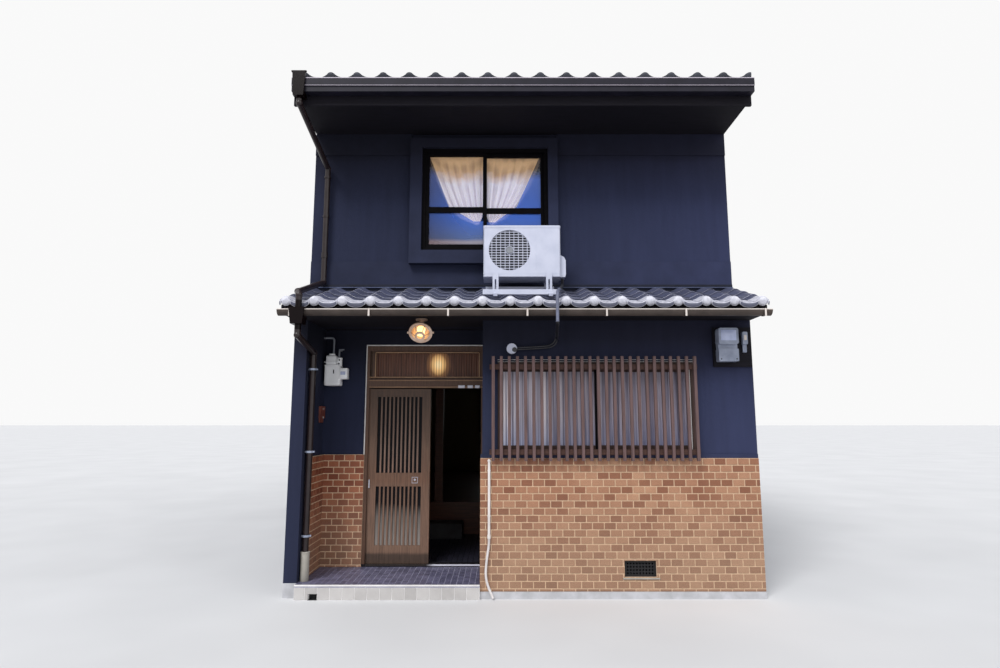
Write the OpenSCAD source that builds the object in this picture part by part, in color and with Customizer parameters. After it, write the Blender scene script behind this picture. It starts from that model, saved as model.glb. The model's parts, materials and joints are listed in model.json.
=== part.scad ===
// A two-storey townhouse of a terraced row, with a projecting ground-floor bay.
// X runs along the street, the street is on -Y, Z is up. The origin is in the
// middle of the house's plan, on the ground. Lengths are millimetres.

/* [House] */
// Width over the outer faces of the party walls
house_w = 4620; // [4500:10:4800]
// Depth from the face of the bay to the outer face of the rear wall
house_d = 8000; // [7500:50:8500]
// Thickness of the outer walls
wall_t = 130; // [110:5:150]
// Height of the tiled entrance floor
floor_z = 137; // [120:1:150]
// Height of the raised timber floor
room_z = 577; // [520:1:600]
// Height of the upper floor
upper_floor_z = 2937; // [2900:1:2980]

/* [Street front] */
// Width of the projecting bay
bay_w = 2715; // [2650:5:2760]
// Depth of the entrance alcove beside the bay
alcove_d = 700; // [650:10:750]
// How far the upper wall stands back from the bay's face
upper_setback = 455; // [430:5:480]
// Height of the top of the brick cladding
brick_z = 1315; // [1250:1:1340]
// Thickness of the brick cladding
brick_t = 18; // [12:1:24]
// Height of the concrete plinth under the bricks
plinth_h = 66; // [50:1:90]
// Underside of the lower eave
pent_soffit_z = 2689; // [2670:1:2700]

/* [Roofs] */
// Slope of the lower roof, as rise over run
pent_slope = 0.338; // [0.32:0.002:0.35]
// Slope of the main roof, as rise over run
main_slope = 0.4; // [0.35:0.01:0.45]
// Width that one pan tile covers
tile_pitch = 265; // [255:5:275]
// Height of a tile's roll above its pan
tile_rise = 42; // [35:1:48]
// Thickness of a tile
tile_t = 26; // [20:1:30]
// Diameter of the round ends of the eave tiles
disc_d = 92; // [85:1:96]
// Underside of the main eave
main_soffit_z = 4898; // [4880:1:4930]

/* [Sliding doors] */
// Width of one door leaf
leaf_w = 677; // [660:1:690]
// Height of one door leaf
leaf_h = 1868; // [1850:2:1872]
// Thickness of one door leaf
leaf_t = 33; // [30:1:36]
// Upright bars across one leaf
leaf_bars = 10; // [6:1:12]

/* [Bay window] */
// Width of the bay's window opening
bay_window_w = 1900; // [1800:10:1950]
// Height of the bay's window opening
bay_window_h = 880; // [860:5:900]
// Upright bars of the lattice
lattice_bars = 26; // [20:1:30]

/* [Hidden] */
$fn = 48;

// Planes across the house, from left to right
side_x = house_w / 2;
inner_x = side_x - wall_t;
bay_x = side_x - bay_w;

// Planes along the house, from the street to the rear
bay_y = -house_d / 2;
face_y = bay_y + brick_t;
alcove_y = bay_y + alcove_d;
upper_y = bay_y + upper_setback;
rear_y = house_d / 2;
ridge_y = (upper_y + rear_y) / 2;

// Entrance step and inner ledge
step_y = bay_y - 50;
tile_bed = 20;
ledge_y = bay_y + 2600;
brick_left_x = -inner_x + 30;
brick_left_y = bay_y + 150;

// Lower roof
pent_eave_y = bay_y - 400;
pent_angle = atan(pent_slope);
pent_deck_z = pent_soffit_z + 80;
pent_overhang = 30;
pent_first_roll = -2252;
flashing_z = 3154;
function pent_z(y) = pent_deck_z + (y - pent_eave_y) * pent_slope;
// Top of the tiles' rolls, and of what stands on them
function pent_crest_z(y) = pent_z(y) + (tile_rise + tile_t) / cos(pent_angle);

// Main roof
main_eave_y = bay_y - 300;
main_angle = atan(main_slope);
main_deck_z = main_soffit_z + 203;
main_first_roll = -2207;
deck_t = 60;
fascia_t = 30;
function main_z(y) = main_deck_z + (y - main_eave_y) * main_slope;
main_crest = (tile_rise + tile_t) / cos(main_angle);
wall_top_gap = deck_t / cos(main_angle);

// Black upper window, with the trim round it
window_x0 = -1095;
window_x1 = 303;
window_z0 = 3524;
window_z1 = 4704;
muntin_z0 = 3964;
muntin_z1 = 4030;
surround_x0 = -1226;
surround_x1 = 411;
surround_z0 = 3377;
surround_z1 = 4813;
surround_y = upper_y - 100;
trim_t = 14;
skirt_z1 = 3415;
frieze_z0 = 4646;

// Bay window, lattice and vent
bay_window_x0 = -222;
bay_window_z0 = 1362;
sill_band_h = 40;
lattice_x0 = -309;
lattice_x1 = 1683;
lattice_z0 = 1293;
lattice_z1 = 2312;
lattice_rail_zs = [1337, 2202];
lattice_y = bay_y - 100;
vent_x0 = 965;
vent_w = 305;
vent_z0 = 197;
vent_h = 150;

// Entrance
frame_x0 = -1712;
jamb_w = 35;
frame_z1 = 2512;
transom_z0 = 2041;
transom_z1 = 2141;
transom_top = 2455;
sill_z = 155;
frame_d = 130;
door_x0 = frame_x0 + jamb_w;
door_x1 = bay_x - jamb_w;
leaf_z0 = sill_z + 8;
leaf_gap = 10;
outer_leaf_y = alcove_y + 22;
inner_leaf_y = outer_leaf_y + leaf_t + leaf_gap;
stile_w = 92;
glass_t = 5;
rail_w = 6;
rail_h = 10;

// Rear windows: the same opening on both storeys
rear_window_w = 1400;
rear_window_h = 1180;
rear_window_x0 = -700;
rear_window_zs = [1437, window_z0];

// Rainwater goods
pipe_d = 60;
pent_gutter_y = pent_eave_y - 65;
pent_gutter_r = 55;
pent_gutter_z = 2708;
gutter_t = 4;
main_gutter_y = main_eave_y - 130;
main_gutter_z = 4932;
main_gutter_w = 100;
main_gutter_h = 142;
hook_pitch = 738;
hook_x0 = -2188;
lower_pipe_x = -2133;
lower_pipe_y = bay_y + 100;
upper_pipe_x = -2150;
upper_pipe_y = upper_y - 60;

// Air conditioner on its roof stand
ac_x0 = -399;
ac_x1 = 386;
ac_z0 = 3122;
ac_z1 = 3656;
ac_y = bay_y - 80;
ac_d = 290;
ac_corner = 24;
fan_x = -133;
fan_z = 3398;
fan_r = 211;
leg_xs = [-275, 265];
leg_w = 60;
rail_front_y = bay_y - 262;
rail_x1 = 335;

// Refrigerant line, from the valve cover to the cap where it enters the wall
line_upper = [
    [414, -3935, 3132], [414, -3935, 3105], [405, -4000, 3045], [372, -4200, 2972],
    [312, -4500, 2890], [300, -4572, 2810], [300, -4572, 2580]
];
line_lower = [
    [300, -4572, 2585], [300, -4572, 2570], [318, -4330, 2530], [338, -4060, 2500],
    [325, -4026, 2450], [270, -4024, 2415], [150, -4022, 2405], [-85, -4022, 2393]
];

// Drain hose, from the foot of its pipe to the ground
hose_d = 24;
hose_top_z = 557;
drain_x = -336;
hose_path = [
    [-336, -4020, 557], [-336, -4020, 530], [-337, -4020, 500], [-341, -4021, 465], [-347, -4022, 430],
    [-353, -4023, 390], [-358, -4024, 350], [-362, -4026, 310], [-365, -4028, 270], [-366, -4030, 235],
    [-363, -4033, 200], [-356, -4036, 165], [-346, -4040, 132], [-333, -4044, 100], [-319, -4048, 70],
    [-306, -4053, 42], [-296, -4058, 18]
];

// Porch lamp: a ceiling plate, and a head tilted towards the street
lamp_x = -1016;
lamp_y = bay_y - 130;
lamp_z = 2543;
lamp_tilt = 41;
globe_d = 84;

// Shared shapes

// A box between two opposite corners
module block(low, high) {
    translate(low) cube(high - low);
}

// A flat shape in X and Z, extruded along +Y from y0 to y1
module facing(y0, y1) {
    translate([0, y1, 0]) rotate([90, 0, 0]) linear_extrude(y1 - y0) children();
}

// A flat shape in Y and Z, extruded along +X from x0 to x1
module sideways(x0, x1) {
    translate([x0, 0, 0]) rotate([90, 0, 90]) linear_extrude(x1 - x0) children();
}

// A flat shape in X and Z, extruded up a slope from the line at (y0, z0)
module up_slope(y0, z0, angle, run) {
    length = run / cos(angle);
    translate([0, y0, z0]) rotate([angle, 0, 0]) rotate([90, 0, 0])
        translate([0, 0, -length]) linear_extrude(length) children();
}

// A rectangle between two opposite corners
module sheet(low, high) {
    translate(low) square(high - low);
}

// A rectangle with rounded corners, each an arc of a few flats
function arc(centre, r, a0, a1, flats) =
    [for (i = [0:flats]) let (a = a0 + (a1 - a0) * i / flats) centre + r * [cos(a), sin(a)]];
module rounded(low, high, r, flats = 4) {
    polygon(concat(
        arc([low[0] + r, low[1] + r], r, 180, 270, flats), arc([high[0] - r, low[1] + r], r, 270, 360, flats),
        arc([high[0] - r, high[1] - r], r, 0, 90, flats), arc([low[0] + r, high[1] - r], r, 90, 180, flats)
    ));
}

// A round bar from one point to another
module bar(a, b, d) {
    v = b - a;
    translate(a) rotate([0, acos(v[2] / norm(v)), atan2(v[1], v[0])]) cylinder(h = norm(v), d = d);
}

// A round pipe through a list of points, with a rounded elbow at each bend
elbow = 8;
module pipe(points, d) {
    for (i = [0:len(points) - 2]) bar(points[i], points[i + 1], d);
    for (i = [1:len(points) - 2]) translate(points[i]) sphere(d = d + elbow);
}

// Copies what is on the street side to the rear side
module rear_side() {
    translate([0, 2 * ridge_y, 0]) mirror([0, 1, 0]) children();
}

// A window frame with two sliding sashes, seen from the street
module sliding_window(x0, x1, z0, z1, y, frame_w, sash_w, depth) {
    mid = (x0 + x1) / 2;
    facing(y, y + depth) difference() {
        sheet([x0, z0], [x1, z1]);
        sheet([x0 + frame_w, z0 + frame_w], [x1 - frame_w, z1 - frame_w]);
    }
    for (side = [0, 1]) {
        a = side == 0 ? x0 + frame_w : mid - sash_w / 2;
        b = side == 0 ? mid + sash_w / 2 : x1 - frame_w;
        facing(y + 15 + side * 35, y + 50 + side * 35) difference() {
            sheet([a, z0 + frame_w], [b, z1 - frame_w]);
            sheet([a + sash_w, z0 + frame_w + sash_w], [b - sash_w, z1 - frame_w - sash_w]);
        }
    }
}

// The two panes of such a window
module window_panes(x0, x1, z0, z1, y, frame_w, sash_w) {
    mid = (x0 + x1) / 2;
    for (side = [0, 1]) {
        a = side == 0 ? x0 + frame_w + sash_w : mid + sash_w / 2;
        b = side == 0 ? mid - sash_w / 2 : x1 - frame_w - sash_w;
        facing(y + 30 + side * 35, y + 30 + glass_t + side * 35)
            sheet([a, z0 + frame_w + sash_w], [b, z1 - frame_w - sash_w]);
    }
}

// Roof tiles: one wave of pan and roll for each tile across the roof
wave_steps = 12;
waves = house_w / tile_pitch;
function wave(u) = tile_rise * pow((1 + cos(360 * u)) / 2, 2);
module tile_section(first_roll) {
    n = floor(waves * wave_steps);
    xs = [for (i = [0:n]) i / n * house_w - side_x];
    top = [for (x = xs) [x, tile_t + wave((x - first_roll) / tile_pitch)]];
    under = [for (i = [n:-1:0]) [xs[i], wave((xs[i] - first_roll) / tile_pitch)]];
    polygon(concat(top, under));
}

// The round ends of the eave tiles, the last one cut at the party wall
module eave_discs(first_roll) {
    intersection() {
        for (i = [0:ceil(waves) - 1]) translate([first_roll + i * tile_pitch, tile_rise]) circle(d = disc_d);
        sheet([-side_x, -disc_d], [side_x, 2 * disc_d]);
    }
}

module tiled_slope(y0, z0, angle, run, first_roll) {
    up_slope(y0, z0, angle, run) tile_section(first_roll);
    up_slope(y0 - 12, z0 - 12 * tan(angle), angle, 40) eave_discs(first_roll);
}

// Ground and floors

module foundation() color("dimgray") {
    linear_extrude(floor_z) polygon([
        [-side_x, face_y], [-inner_x, face_y], [-inner_x, alcove_y], [bay_x, alcove_y],
        [bay_x, face_y], [side_x, face_y], [side_x, rear_y], [-side_x, rear_y]
    ]);
    block([bay_x - brick_t, bay_y - 12, 0], [side_x, face_y, plinth_h]);
}

// Plan of the alcove floor, clear of the bay's bricks
module alcove_plan(front_y, back_y) {
    polygon([
        [-inner_x, front_y], [bay_x - brick_t, front_y], [bay_x - brick_t, face_y], [bay_x, face_y],
        [bay_x, back_y], [-inner_x, back_y]
    ]);
}

module entrance_step() color("tan") difference() {
    linear_extrude(floor_z - tile_bed) alcove_plan(step_y, alcove_y);
    // Outlet of the floor drain
    block([-2046, step_y - 1, -1], [-1961, step_y + 60, 57]);
}

module tile_floors() color("darkslategray") {
    translate([0, 0, floor_z - tile_bed]) linear_extrude(tile_bed) alcove_plan(step_y - 5, alcove_y - 10);
    block([-inner_x, alcove_y + frame_d, floor_z], [bay_x, ledge_y - 30, floor_z + 12]);
}

module step_stone() color("gray")
    facing(ledge_y - 374, ledge_y - 34) rounded([-1390, floor_z + 12], [-730, 340], 14, 3);

module raised_floor() color("sienna") {
    board_t = 45;
    riser_t = 30;
    translate([0, 0, room_z - board_t]) linear_extrude(board_t) polygon([
        [-inner_x, ledge_y], [bay_x, ledge_y], [bay_x, alcove_y + frame_d], [bay_x + wall_t, alcove_y + frame_d],
        [bay_x + wall_t, face_y + wall_t], [inner_x, face_y + wall_t],
        [inner_x, rear_y - wall_t], [-inner_x, rear_y - wall_t]
    ]);
    // Riser boards towards the hall, and a sleeper wall under the middle of the floor
    block([-inner_x, ledge_y - riser_t, floor_z], [bay_x, ledge_y, room_z]);
    block([bay_x, alcove_y + frame_d, floor_z], [bay_x + riser_t, ledge_y, room_z - board_t]);
    block([-inner_x, rear_y / 3, floor_z], [inner_x, rear_y / 3 + wall_t, room_z - board_t]);
}

module inner_post() color("peru")
    block([-1140, ledge_y + 40, room_z], [-1030, ledge_y + 150, upper_floor_z - 120]);

module upper_floor() color("burlywood")
    block([-inner_x, upper_y + wall_t, upper_floor_z - 120], [inner_x, rear_y - wall_t, upper_floor_z]);

// Walls

module party_wall_section() {
    y0 = upper_y + wall_t;
    y1 = rear_y - wall_t;
    far_z = main_z(2 * ridge_y - y1) - wall_top_gap;
    polygon([
        [face_y, floor_z], [y1, floor_z], [y1, far_z], [ridge_y, main_z(ridge_y) - wall_top_gap],
        [y0, main_z(y0) - wall_top_gap], [y0, pent_soffit_z], [face_y, pent_soffit_z]
    ]);
}

module left_party_wall() color("#2b2d3a") sideways(-side_x, -inner_x) party_wall_section();

module right_party_wall() color("#2b2d3a") difference() {
    sideways(inner_x, side_x) party_wall_section();
    block([inner_x - 1, face_y - 1, 0], [side_x + 1, face_y + wall_t, pent_soffit_z + 1]);
}

module bay_front_wall() color("#2b2d3a") facing(face_y, face_y + wall_t) difference() {
    sheet([bay_x, floor_z], [side_x, pent_soffit_z]);
    sheet([bay_window_x0, bay_window_z0], [bay_window_x0 + bay_window_w, bay_window_z0 + bay_window_h]);
    sheet([vent_x0, vent_z0], [vent_x0 + vent_w, vent_z0 + vent_h]);
}

module bay_side_wall() color("#2b2d3a")
    block([bay_x, face_y + wall_t, floor_z], [bay_x + wall_t, alcove_y + frame_d, pent_soffit_z]);

module entrance_wall_side() color("#2b2d3a")
    block([-inner_x, alcove_y, floor_z], [frame_x0, alcove_y + wall_t - 10, upper_floor_z - 120]);

module entrance_wall_over() color("#2b2d3a")
    block([frame_x0, alcove_y, frame_z1], [bay_x, alcove_y + wall_t - 10, upper_floor_z - 120]);

module upper_front_wall() color("#2b2d3a") difference() {
    sideways(-side_x, side_x) polygon([
        [upper_y, pent_soffit_z], [upper_y + wall_t, pent_soffit_z],
        [upper_y + wall_t, main_z(upper_y + wall_t) - wall_top_gap], [upper_y, main_z(upper_y) - wall_top_gap]
    ]);
    block([window_x0, upper_y - 1, window_z0], [window_x1, upper_y + wall_t + 1, window_z1]);
}

module rear_wall() color("#2b2d3a") difference() {
    rear_side() sideways(-side_x, side_x) polygon([
        [upper_y, floor_z], [upper_y + wall_t, floor_z],
        [upper_y + wall_t, main_z(upper_y + wall_t) - wall_top_gap], [upper_y, main_z(upper_y) - wall_top_gap]
    ]);
    for (z = rear_window_zs)
        block([rear_window_x0, rear_y - wall_t - 1, z],
              [rear_window_x0 + rear_window_w, rear_y + 1, z + rear_window_h]);
}

// Cladding and trim

module bay_brickwork() color("peru") {
    difference() {
        facing(bay_y, face_y) sheet([bay_x - brick_t, plinth_h], [side_x, brick_z]);
        block([vent_x0, bay_y - 1, vent_z0], [vent_x0 + vent_w, face_y + 1, vent_z0 + vent_h]);
    }
    block([bay_x - brick_t, face_y, floor_z], [bay_x, alcove_y - 10, brick_z]);
}

module alcove_brickwork() color("sienna") {
    block([-inner_x, brick_left_y, floor_z], [brick_left_x, alcove_y - brick_t, brick_z]);
    block([-inner_x, alcove_y - brick_t, floor_z], [frame_x0 - 20, alcove_y, brick_z]);
}

module wall_trim() color("black") {
    // Sill band over the bay's bricks
    block([bay_x - brick_t, face_y - 10, brick_z], [side_x, face_y, brick_z + sill_band_h]);
    // Skirt and frieze of the upper wall, on both sides of the window
    for (part = [[-side_x, surround_x0], [surround_x1, side_x]]) {
        block([part[0], upper_y - trim_t, pent_z(upper_y) + 2], [part[1], upper_y, skirt_z1]);
        block([part[0], upper_y - trim_t, frieze_z0], [part[1], upper_y, main_soffit_z]);
    }
    block([surround_x0, upper_y - trim_t, pent_z(upper_y) + 2], [surround_x1, upper_y, surround_z0]);
}

module window_surround() color("#23252f") difference() {
    facing(surround_y, upper_y) difference() {
        sheet([surround_x0, surround_z0], [surround_x1, surround_z1]);
        sheet([window_x0, window_z0], [window_x1, window_z1]);
    }
    // Groove that throws off the rain, under the lower board
    block([surround_x0 + 30, surround_y + 12, surround_z0 - 1],
          [surround_x1 - 30, surround_y + 24, surround_z0 + 8]);
}

// Windows

module upper_window_frame() color("#26211f") {
    y = upper_y - 55;
    sliding_window(window_x0, window_x1, window_z0, window_z1, y, 40, 38, 110);
    mid = (window_x0 + window_x1) / 2;
    for (side = [0, 1]) {
        a = side == 0 ? window_x0 + 78 : mid + 19;
        b = side == 0 ? mid - 19 : window_x1 - 78;
        facing(y + 15 + side * 35, y + 29 + side * 35) sheet([a, muntin_z0], [b, muntin_z1]);
    }
}

module upper_window_glass() color("skyblue", 0.4)
    window_panes(window_x0, window_x1, window_z0, window_z1, upper_y - 55, 40, 38);

// Curtains, each one drawn back to its side of the window
curtain_y = upper_y + 62;
curtain_top = window_z1;
module curtain_left() color("ivory") facing(curtain_y, curtain_y + 50)
    polygon([[-1050, curtain_top], [-421, curtain_top], [-421, 4237], [-512, 3861], [-800, 4037], [-1010, 4557]]);
module curtain_right() color("ivory") facing(curtain_y, curtain_y + 50)
    polygon([[-385, curtain_top], [250, curtain_top], [215, 4557], [-44, 4046], [-303, 3861], [-385, 4237]]);

module bay_window_frame() color("#3a2c26")
    sliding_window(bay_window_x0, bay_window_x0 + bay_window_w, bay_window_z0,
        bay_window_z0 + bay_window_h, face_y - 8, 36, 40, 100);

module bay_window_glass() color("lightcyan", 0.5)
    window_panes(bay_window_x0, bay_window_x0 + bay_window_w, bay_window_z0,
        bay_window_z0 + bay_window_h, face_y - 8, 36, 40);

module bay_lattice() color("#5f413c") {
    pitch = (lattice_x1 - lattice_x0) / (lattice_bars - 1);
    for (i = [0:lattice_bars - 1])
        block([lattice_x0 + i * pitch - 15, lattice_y, lattice_z0],
              [lattice_x0 + i * pitch + 15, lattice_y + 40, lattice_z1]);
    for (z = lattice_rail_zs) {
        block([lattice_x0 - 60, lattice_y + 12, z], [lattice_x1 + 60, lattice_y + 44, z + 50]);
        // Arms to the wall at both ends, and to the window's frame in the middle
        for (x = [lattice_x0 - 40, lattice_x1 + 20])
            block([x, lattice_y + 40, z + 20], [x + 20, face_y, z + 50]);
        block([(lattice_x0 + lattice_x1) / 2, lattice_y + 40, z + 26],
              [(lattice_x0 + lattice_x1) / 2 + 20, face_y - 8, z + 50]);
    }
}

module rear_window_frames() color("#3a2c26")
    for (z = rear_window_zs) rear_side()
        sliding_window(rear_window_x0, rear_window_x0 + rear_window_w, z, z + rear_window_h,
            upper_y + 10, 36, 38, 100);

module rear_window_glass() color("skyblue", 0.4)
    for (z = rear_window_zs) rear_side()
        window_panes(rear_window_x0, rear_window_x0 + rear_window_w, z, z + rear_window_h,
            upper_y + 10, 36, 38);

// Entrance with two sliding leaves

module entrance_frame() color("#4a3a2e") {
    facing(alcove_y - 10, alcove_y + frame_d) difference() {
        sheet([frame_x0, floor_z], [bay_x, frame_z1]);
        sheet([door_x0, sill_z], [door_x1, transom_z0]);
        sheet([door_x0, transom_z1], [door_x1, transom_top]);
    }
    // Sash round the transom glass
    sash_w = 24;
    facing(alcove_y + 30, alcove_y + 60) difference() {
        sheet([door_x0, transom_z1], [door_x1, transom_top]);
        sheet([door_x0 + sash_w, transom_z1 + sash_w], [door_x1 - sash_w, transom_top - sash_w]);
    }
    // Floor rails
    for (y = [outer_leaf_y, inner_leaf_y])
        block([door_x0, y + leaf_t / 2 - rail_w / 2, sill_z],
              [door_x1, y + leaf_t / 2 + rail_w / 2, sill_z + rail_h]);
}

module transom_glass() color("lightcyan", 0.5) facing(alcove_y + 42, alcove_y + 42 + glass_t)
    sheet([door_x0 + 24, transom_z1 + 24], [door_x1 - 24, transom_top - 24]);

// Heights of one leaf's rails, from its foot
leaf_rails = [[0, 190], [808, 953], [1780, leaf_h]];

module door_leaf(y) {
    z = leaf_z0;
    clear_w = leaf_w - 2 * stile_w;
    bar_pitch = clear_w / (leaf_bars + 1);
    difference() {
        union() {
            for (x = [door_x0, door_x0 + leaf_w - stile_w])
                block([x, y, z], [x + stile_w, y + leaf_t, z + leaf_h]);
            for (r = leaf_rails)
                block([door_x0 + stile_w, y, z + r[0]], [door_x0 + leaf_w - stile_w, y + leaf_t, z + r[1]]);
            for (i = [1:leaf_bars])
                block([door_x0 + stile_w + i * bar_pitch - 9, y + 2, z + leaf_rails[0][1]],
                      [door_x0 + stile_w + i * bar_pitch + 9, y + 14, z + leaf_rails[2][0]]);
        }
        // Groove that runs over the floor rail, and the finger pull
        block([door_x0 - 1, y + leaf_t / 2 - 8, z - 1], [door_x0 + leaf_w + 1, y + leaf_t / 2 + 8, z + 14]);
        facing(y - 1, y + 8) rounded([door_x0 + 16, z + 775], [door_x0 + 44, z + 925], 13, 4);
    }
    // Lock plate on the middle rail
    facing(y - 3, y) rounded([door_x0 + 484, z + 842], [door_x0 + 556, z + 917], 8, 3);
}

module door_pane(y)
    for (i = [0, 1])
        block([door_x0 + stile_w, y + 16, leaf_z0 + leaf_rails[i][1]],
              [door_x0 + leaf_w - stile_w, y + 16 + glass_t, leaf_z0 + leaf_rails[i + 1][0]]);

module door_leaf_outer() color("#6b4f38") door_leaf(outer_leaf_y);
module door_glass_outer() color("lightcyan", 0.5) door_pane(outer_leaf_y);
module door_leaf_inner() color("#6b4f38") door_leaf(inner_leaf_y);
module door_glass_inner() color("lightcyan", 0.5) door_pane(inner_leaf_y);

// Roofs

module pent_roof_frame() color("#2a2523") {
    sideways(-side_x, side_x) polygon([
        [pent_eave_y, pent_soffit_z], [upper_y, pent_soffit_z], [upper_y, pent_z(upper_y)],
        [pent_eave_y, pent_z(pent_eave_y)]
    ]);
    block([-inner_x, upper_y + wall_t, pent_soffit_z], [bay_x, alcove_y, pent_soffit_z + 18]);
}

module pent_roof_tiles() color("slategray") {
    y0 = pent_eave_y - pent_overhang;
    tiled_slope(y0, pent_z(y0), pent_angle, upper_y - y0 - 14, pent_first_roll);
    // Flashing where the tiles meet the wall
    block([-side_x, upper_y - 20, pent_z(upper_y) + 20], [side_x, upper_y - trim_t, flashing_z]);
}

module main_deck() color("#2a2523") sideways(-side_x, side_x) polygon([
    [main_eave_y, main_z(main_eave_y)], [ridge_y, main_z(ridge_y)],
    [ridge_y, main_z(ridge_y) - wall_top_gap], [main_eave_y, main_z(main_eave_y) - wall_top_gap]
]);
module main_roof_deck_front() main_deck();
module main_roof_deck_rear() rear_side() main_deck();

// Half the width of the bedding that the ridge stands on
bed_w = 38;
ridge_w = 130;

module main_tiles() color("slategray") {
    y0 = main_eave_y - 30;
    tiled_slope(y0, main_z(y0), main_angle, ridge_y - y0 - bed_w - 2, main_first_roll);
}
module main_roof_tiles_front() main_tiles();
module main_roof_tiles_rear() rear_side() main_tiles();

// Flat tiles in three courses on a bed between the slopes, under a round cap
module roof_ridge() color("slategray") {
    z = main_z(ridge_y);
    half = [
        [0, z], [bed_w, z - bed_w * main_slope], [bed_w, z + main_crest - bed_w * main_slope + 1],
        [ridge_w, z + main_crest - ridge_w * main_slope + 1], [ridge_w, z + 80], [ridge_w - 20, z + 80],
        [ridge_w - 20, z + 125], [ridge_w - 40, z + 125], [ridge_w - 40, z + 170], [ridge_w - 60, z + 170],
        [ridge_w - 60, z + 200]
    ];
    sideways(-side_x, side_x) {
        polygon(concat(
            [for (p = half) [ridge_y + p[0], p[1]]],
            [for (i = [len(half) - 1:-1:1]) [ridge_y - half[i][0], half[i][1]]]
        ));
        translate([ridge_y, z + 200]) circle(d = 165);
    }
    // Round end tiles over both gables
    for (x = [-side_x, side_x - 40]) sideways(x, x + 40) translate([ridge_y, z + 190]) circle(d = 200);
}

module eave_box() {
    sideways(-side_x, side_x) {
        sheet([main_eave_y, main_soffit_z], [upper_y, main_soffit_z + 18]);
        sheet([main_eave_y - fascia_t, main_soffit_z - 68],
              [main_eave_y, main_deck_z - wall_top_gap + 30]);
    }
}
module main_eaves() color("#3a3330") {
    eave_box();
    rear_side() eave_box();
}

// Rainwater goods

// The lower part of a ring, its arc made of flats
module trough(r_out, r_in, a0, a1, flats)
    polygon(concat(arc([0, 0], r_out, a0, a1, flats), arc([0, 0], r_in, a1, a0, flats)));

// A half-round channel with rolled lips and closed ends, hung in straps
module pent_gutter() color("#5a4a48") {
    r = pent_gutter_r;
    translate([0, pent_gutter_y, pent_gutter_z]) {
        sideways(-side_x, side_x) {
            trough(r, r - gutter_t, 180, 360, 18);
            for (side = [-1, 1]) translate([side * (r - gutter_t / 2), -1]) circle(d = 9, $fn = 8);
        }
        for (x = [-side_x, side_x - gutter_t]) sideways(x, x + gutter_t)
            polygon(arc([0, 0], r - 2, 180, 360, 18));
        for (i = [0:6]) sideways(hook_x0 + i * hook_pitch - 9, hook_x0 + i * hook_pitch + 9) {
            trough(r + 5, r - 2, 192, 348, 16);
            sheet([r - 1, -18], [pent_eave_y - pent_gutter_y, -12]);
        }
    }
}

// A box channel whose front steps out above a fold, with closed ends
module box_gutter() {
    outline = [
        [10, 0], [main_gutter_w, 0], [main_gutter_w, main_gutter_h - 6], [0, main_gutter_h], [0, 60], [10, 52]
    ];
    t = gutter_t;
    translate([0, main_gutter_y, main_gutter_z]) {
        sideways(-side_x, side_x) {
            difference() {
                polygon(outline);
                polygon([
                    [10 + t, t], [main_gutter_w - t, t], [main_gutter_w - t, main_gutter_h + 1],
                    [t, main_gutter_h + 1], [t, 60 + t / 2], [10 + t, 52 + t / 2]
                ]);
            }
            sheet([0, main_gutter_h - 6], [14, main_gutter_h]);
        }
        for (x = [-side_x, side_x - t]) sideways(x, x + t) polygon(outline);
    }
}
module main_gutters() color("#4b414b") {
    box_gutter();
    rear_side() box_gutter();
}

// A rain hopper: a tapered front over the gutter's face, and a box under the gutter
module hopper(x, front_y, gutter_y, back_y, z0, gutter_z, z1, top_w, foot_w) {
    module front() polygon([
        [x - foot_w / 2, z0], [x + foot_w / 2, z0], [x + top_w / 2 - 10, z1 - 14], [x + top_w / 2, z1 - 14],
        [x + top_w / 2, z1], [x - top_w / 2, z1], [x - top_w / 2, z1 - 14], [x - top_w / 2 + 10, z1 - 14]
    ]);
    facing(front_y, gutter_y) front();
    facing(gutter_y, back_y) intersection() {
        front();
        sheet([x - top_w, z0 - 1], [x + top_w, gutter_z]);
    }
}

// A band round an upright pipe, with an arm to the wall whose plan runs from low to high
module strap(x, y, z, low, high) {
    translate([x, y, z]) cylinder(h = 22, d = pipe_d + 14);
    block([low[0], low[1], z + 2], [high[0], high[1], z + 20]);
}

lower_hopper_x = -2120;
module lower_downpipe() color("#3b2a2a") {
    y = pent_gutter_y;
    hopper(lower_hopper_x, y - 74, y - 62, y + 50, 2570, 2648, 2727, 165, 108);
    pipe([[lower_hopper_x, y - 8, 2575], [lower_hopper_x, y - 8, 2470],
          [lower_pipe_x, lower_pipe_y, 2365], [lower_pipe_x, lower_pipe_y, 400]], pipe_d);
    translate([lower_pipe_x, lower_pipe_y, floor_z]) cylinder(h = 275, d = 82);
    for (z = [550, 1361, 2185])
        strap(lower_pipe_x, lower_pipe_y, z, [-inner_x, lower_pipe_y - 9], [lower_pipe_x, lower_pipe_y + 9]);
}

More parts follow.
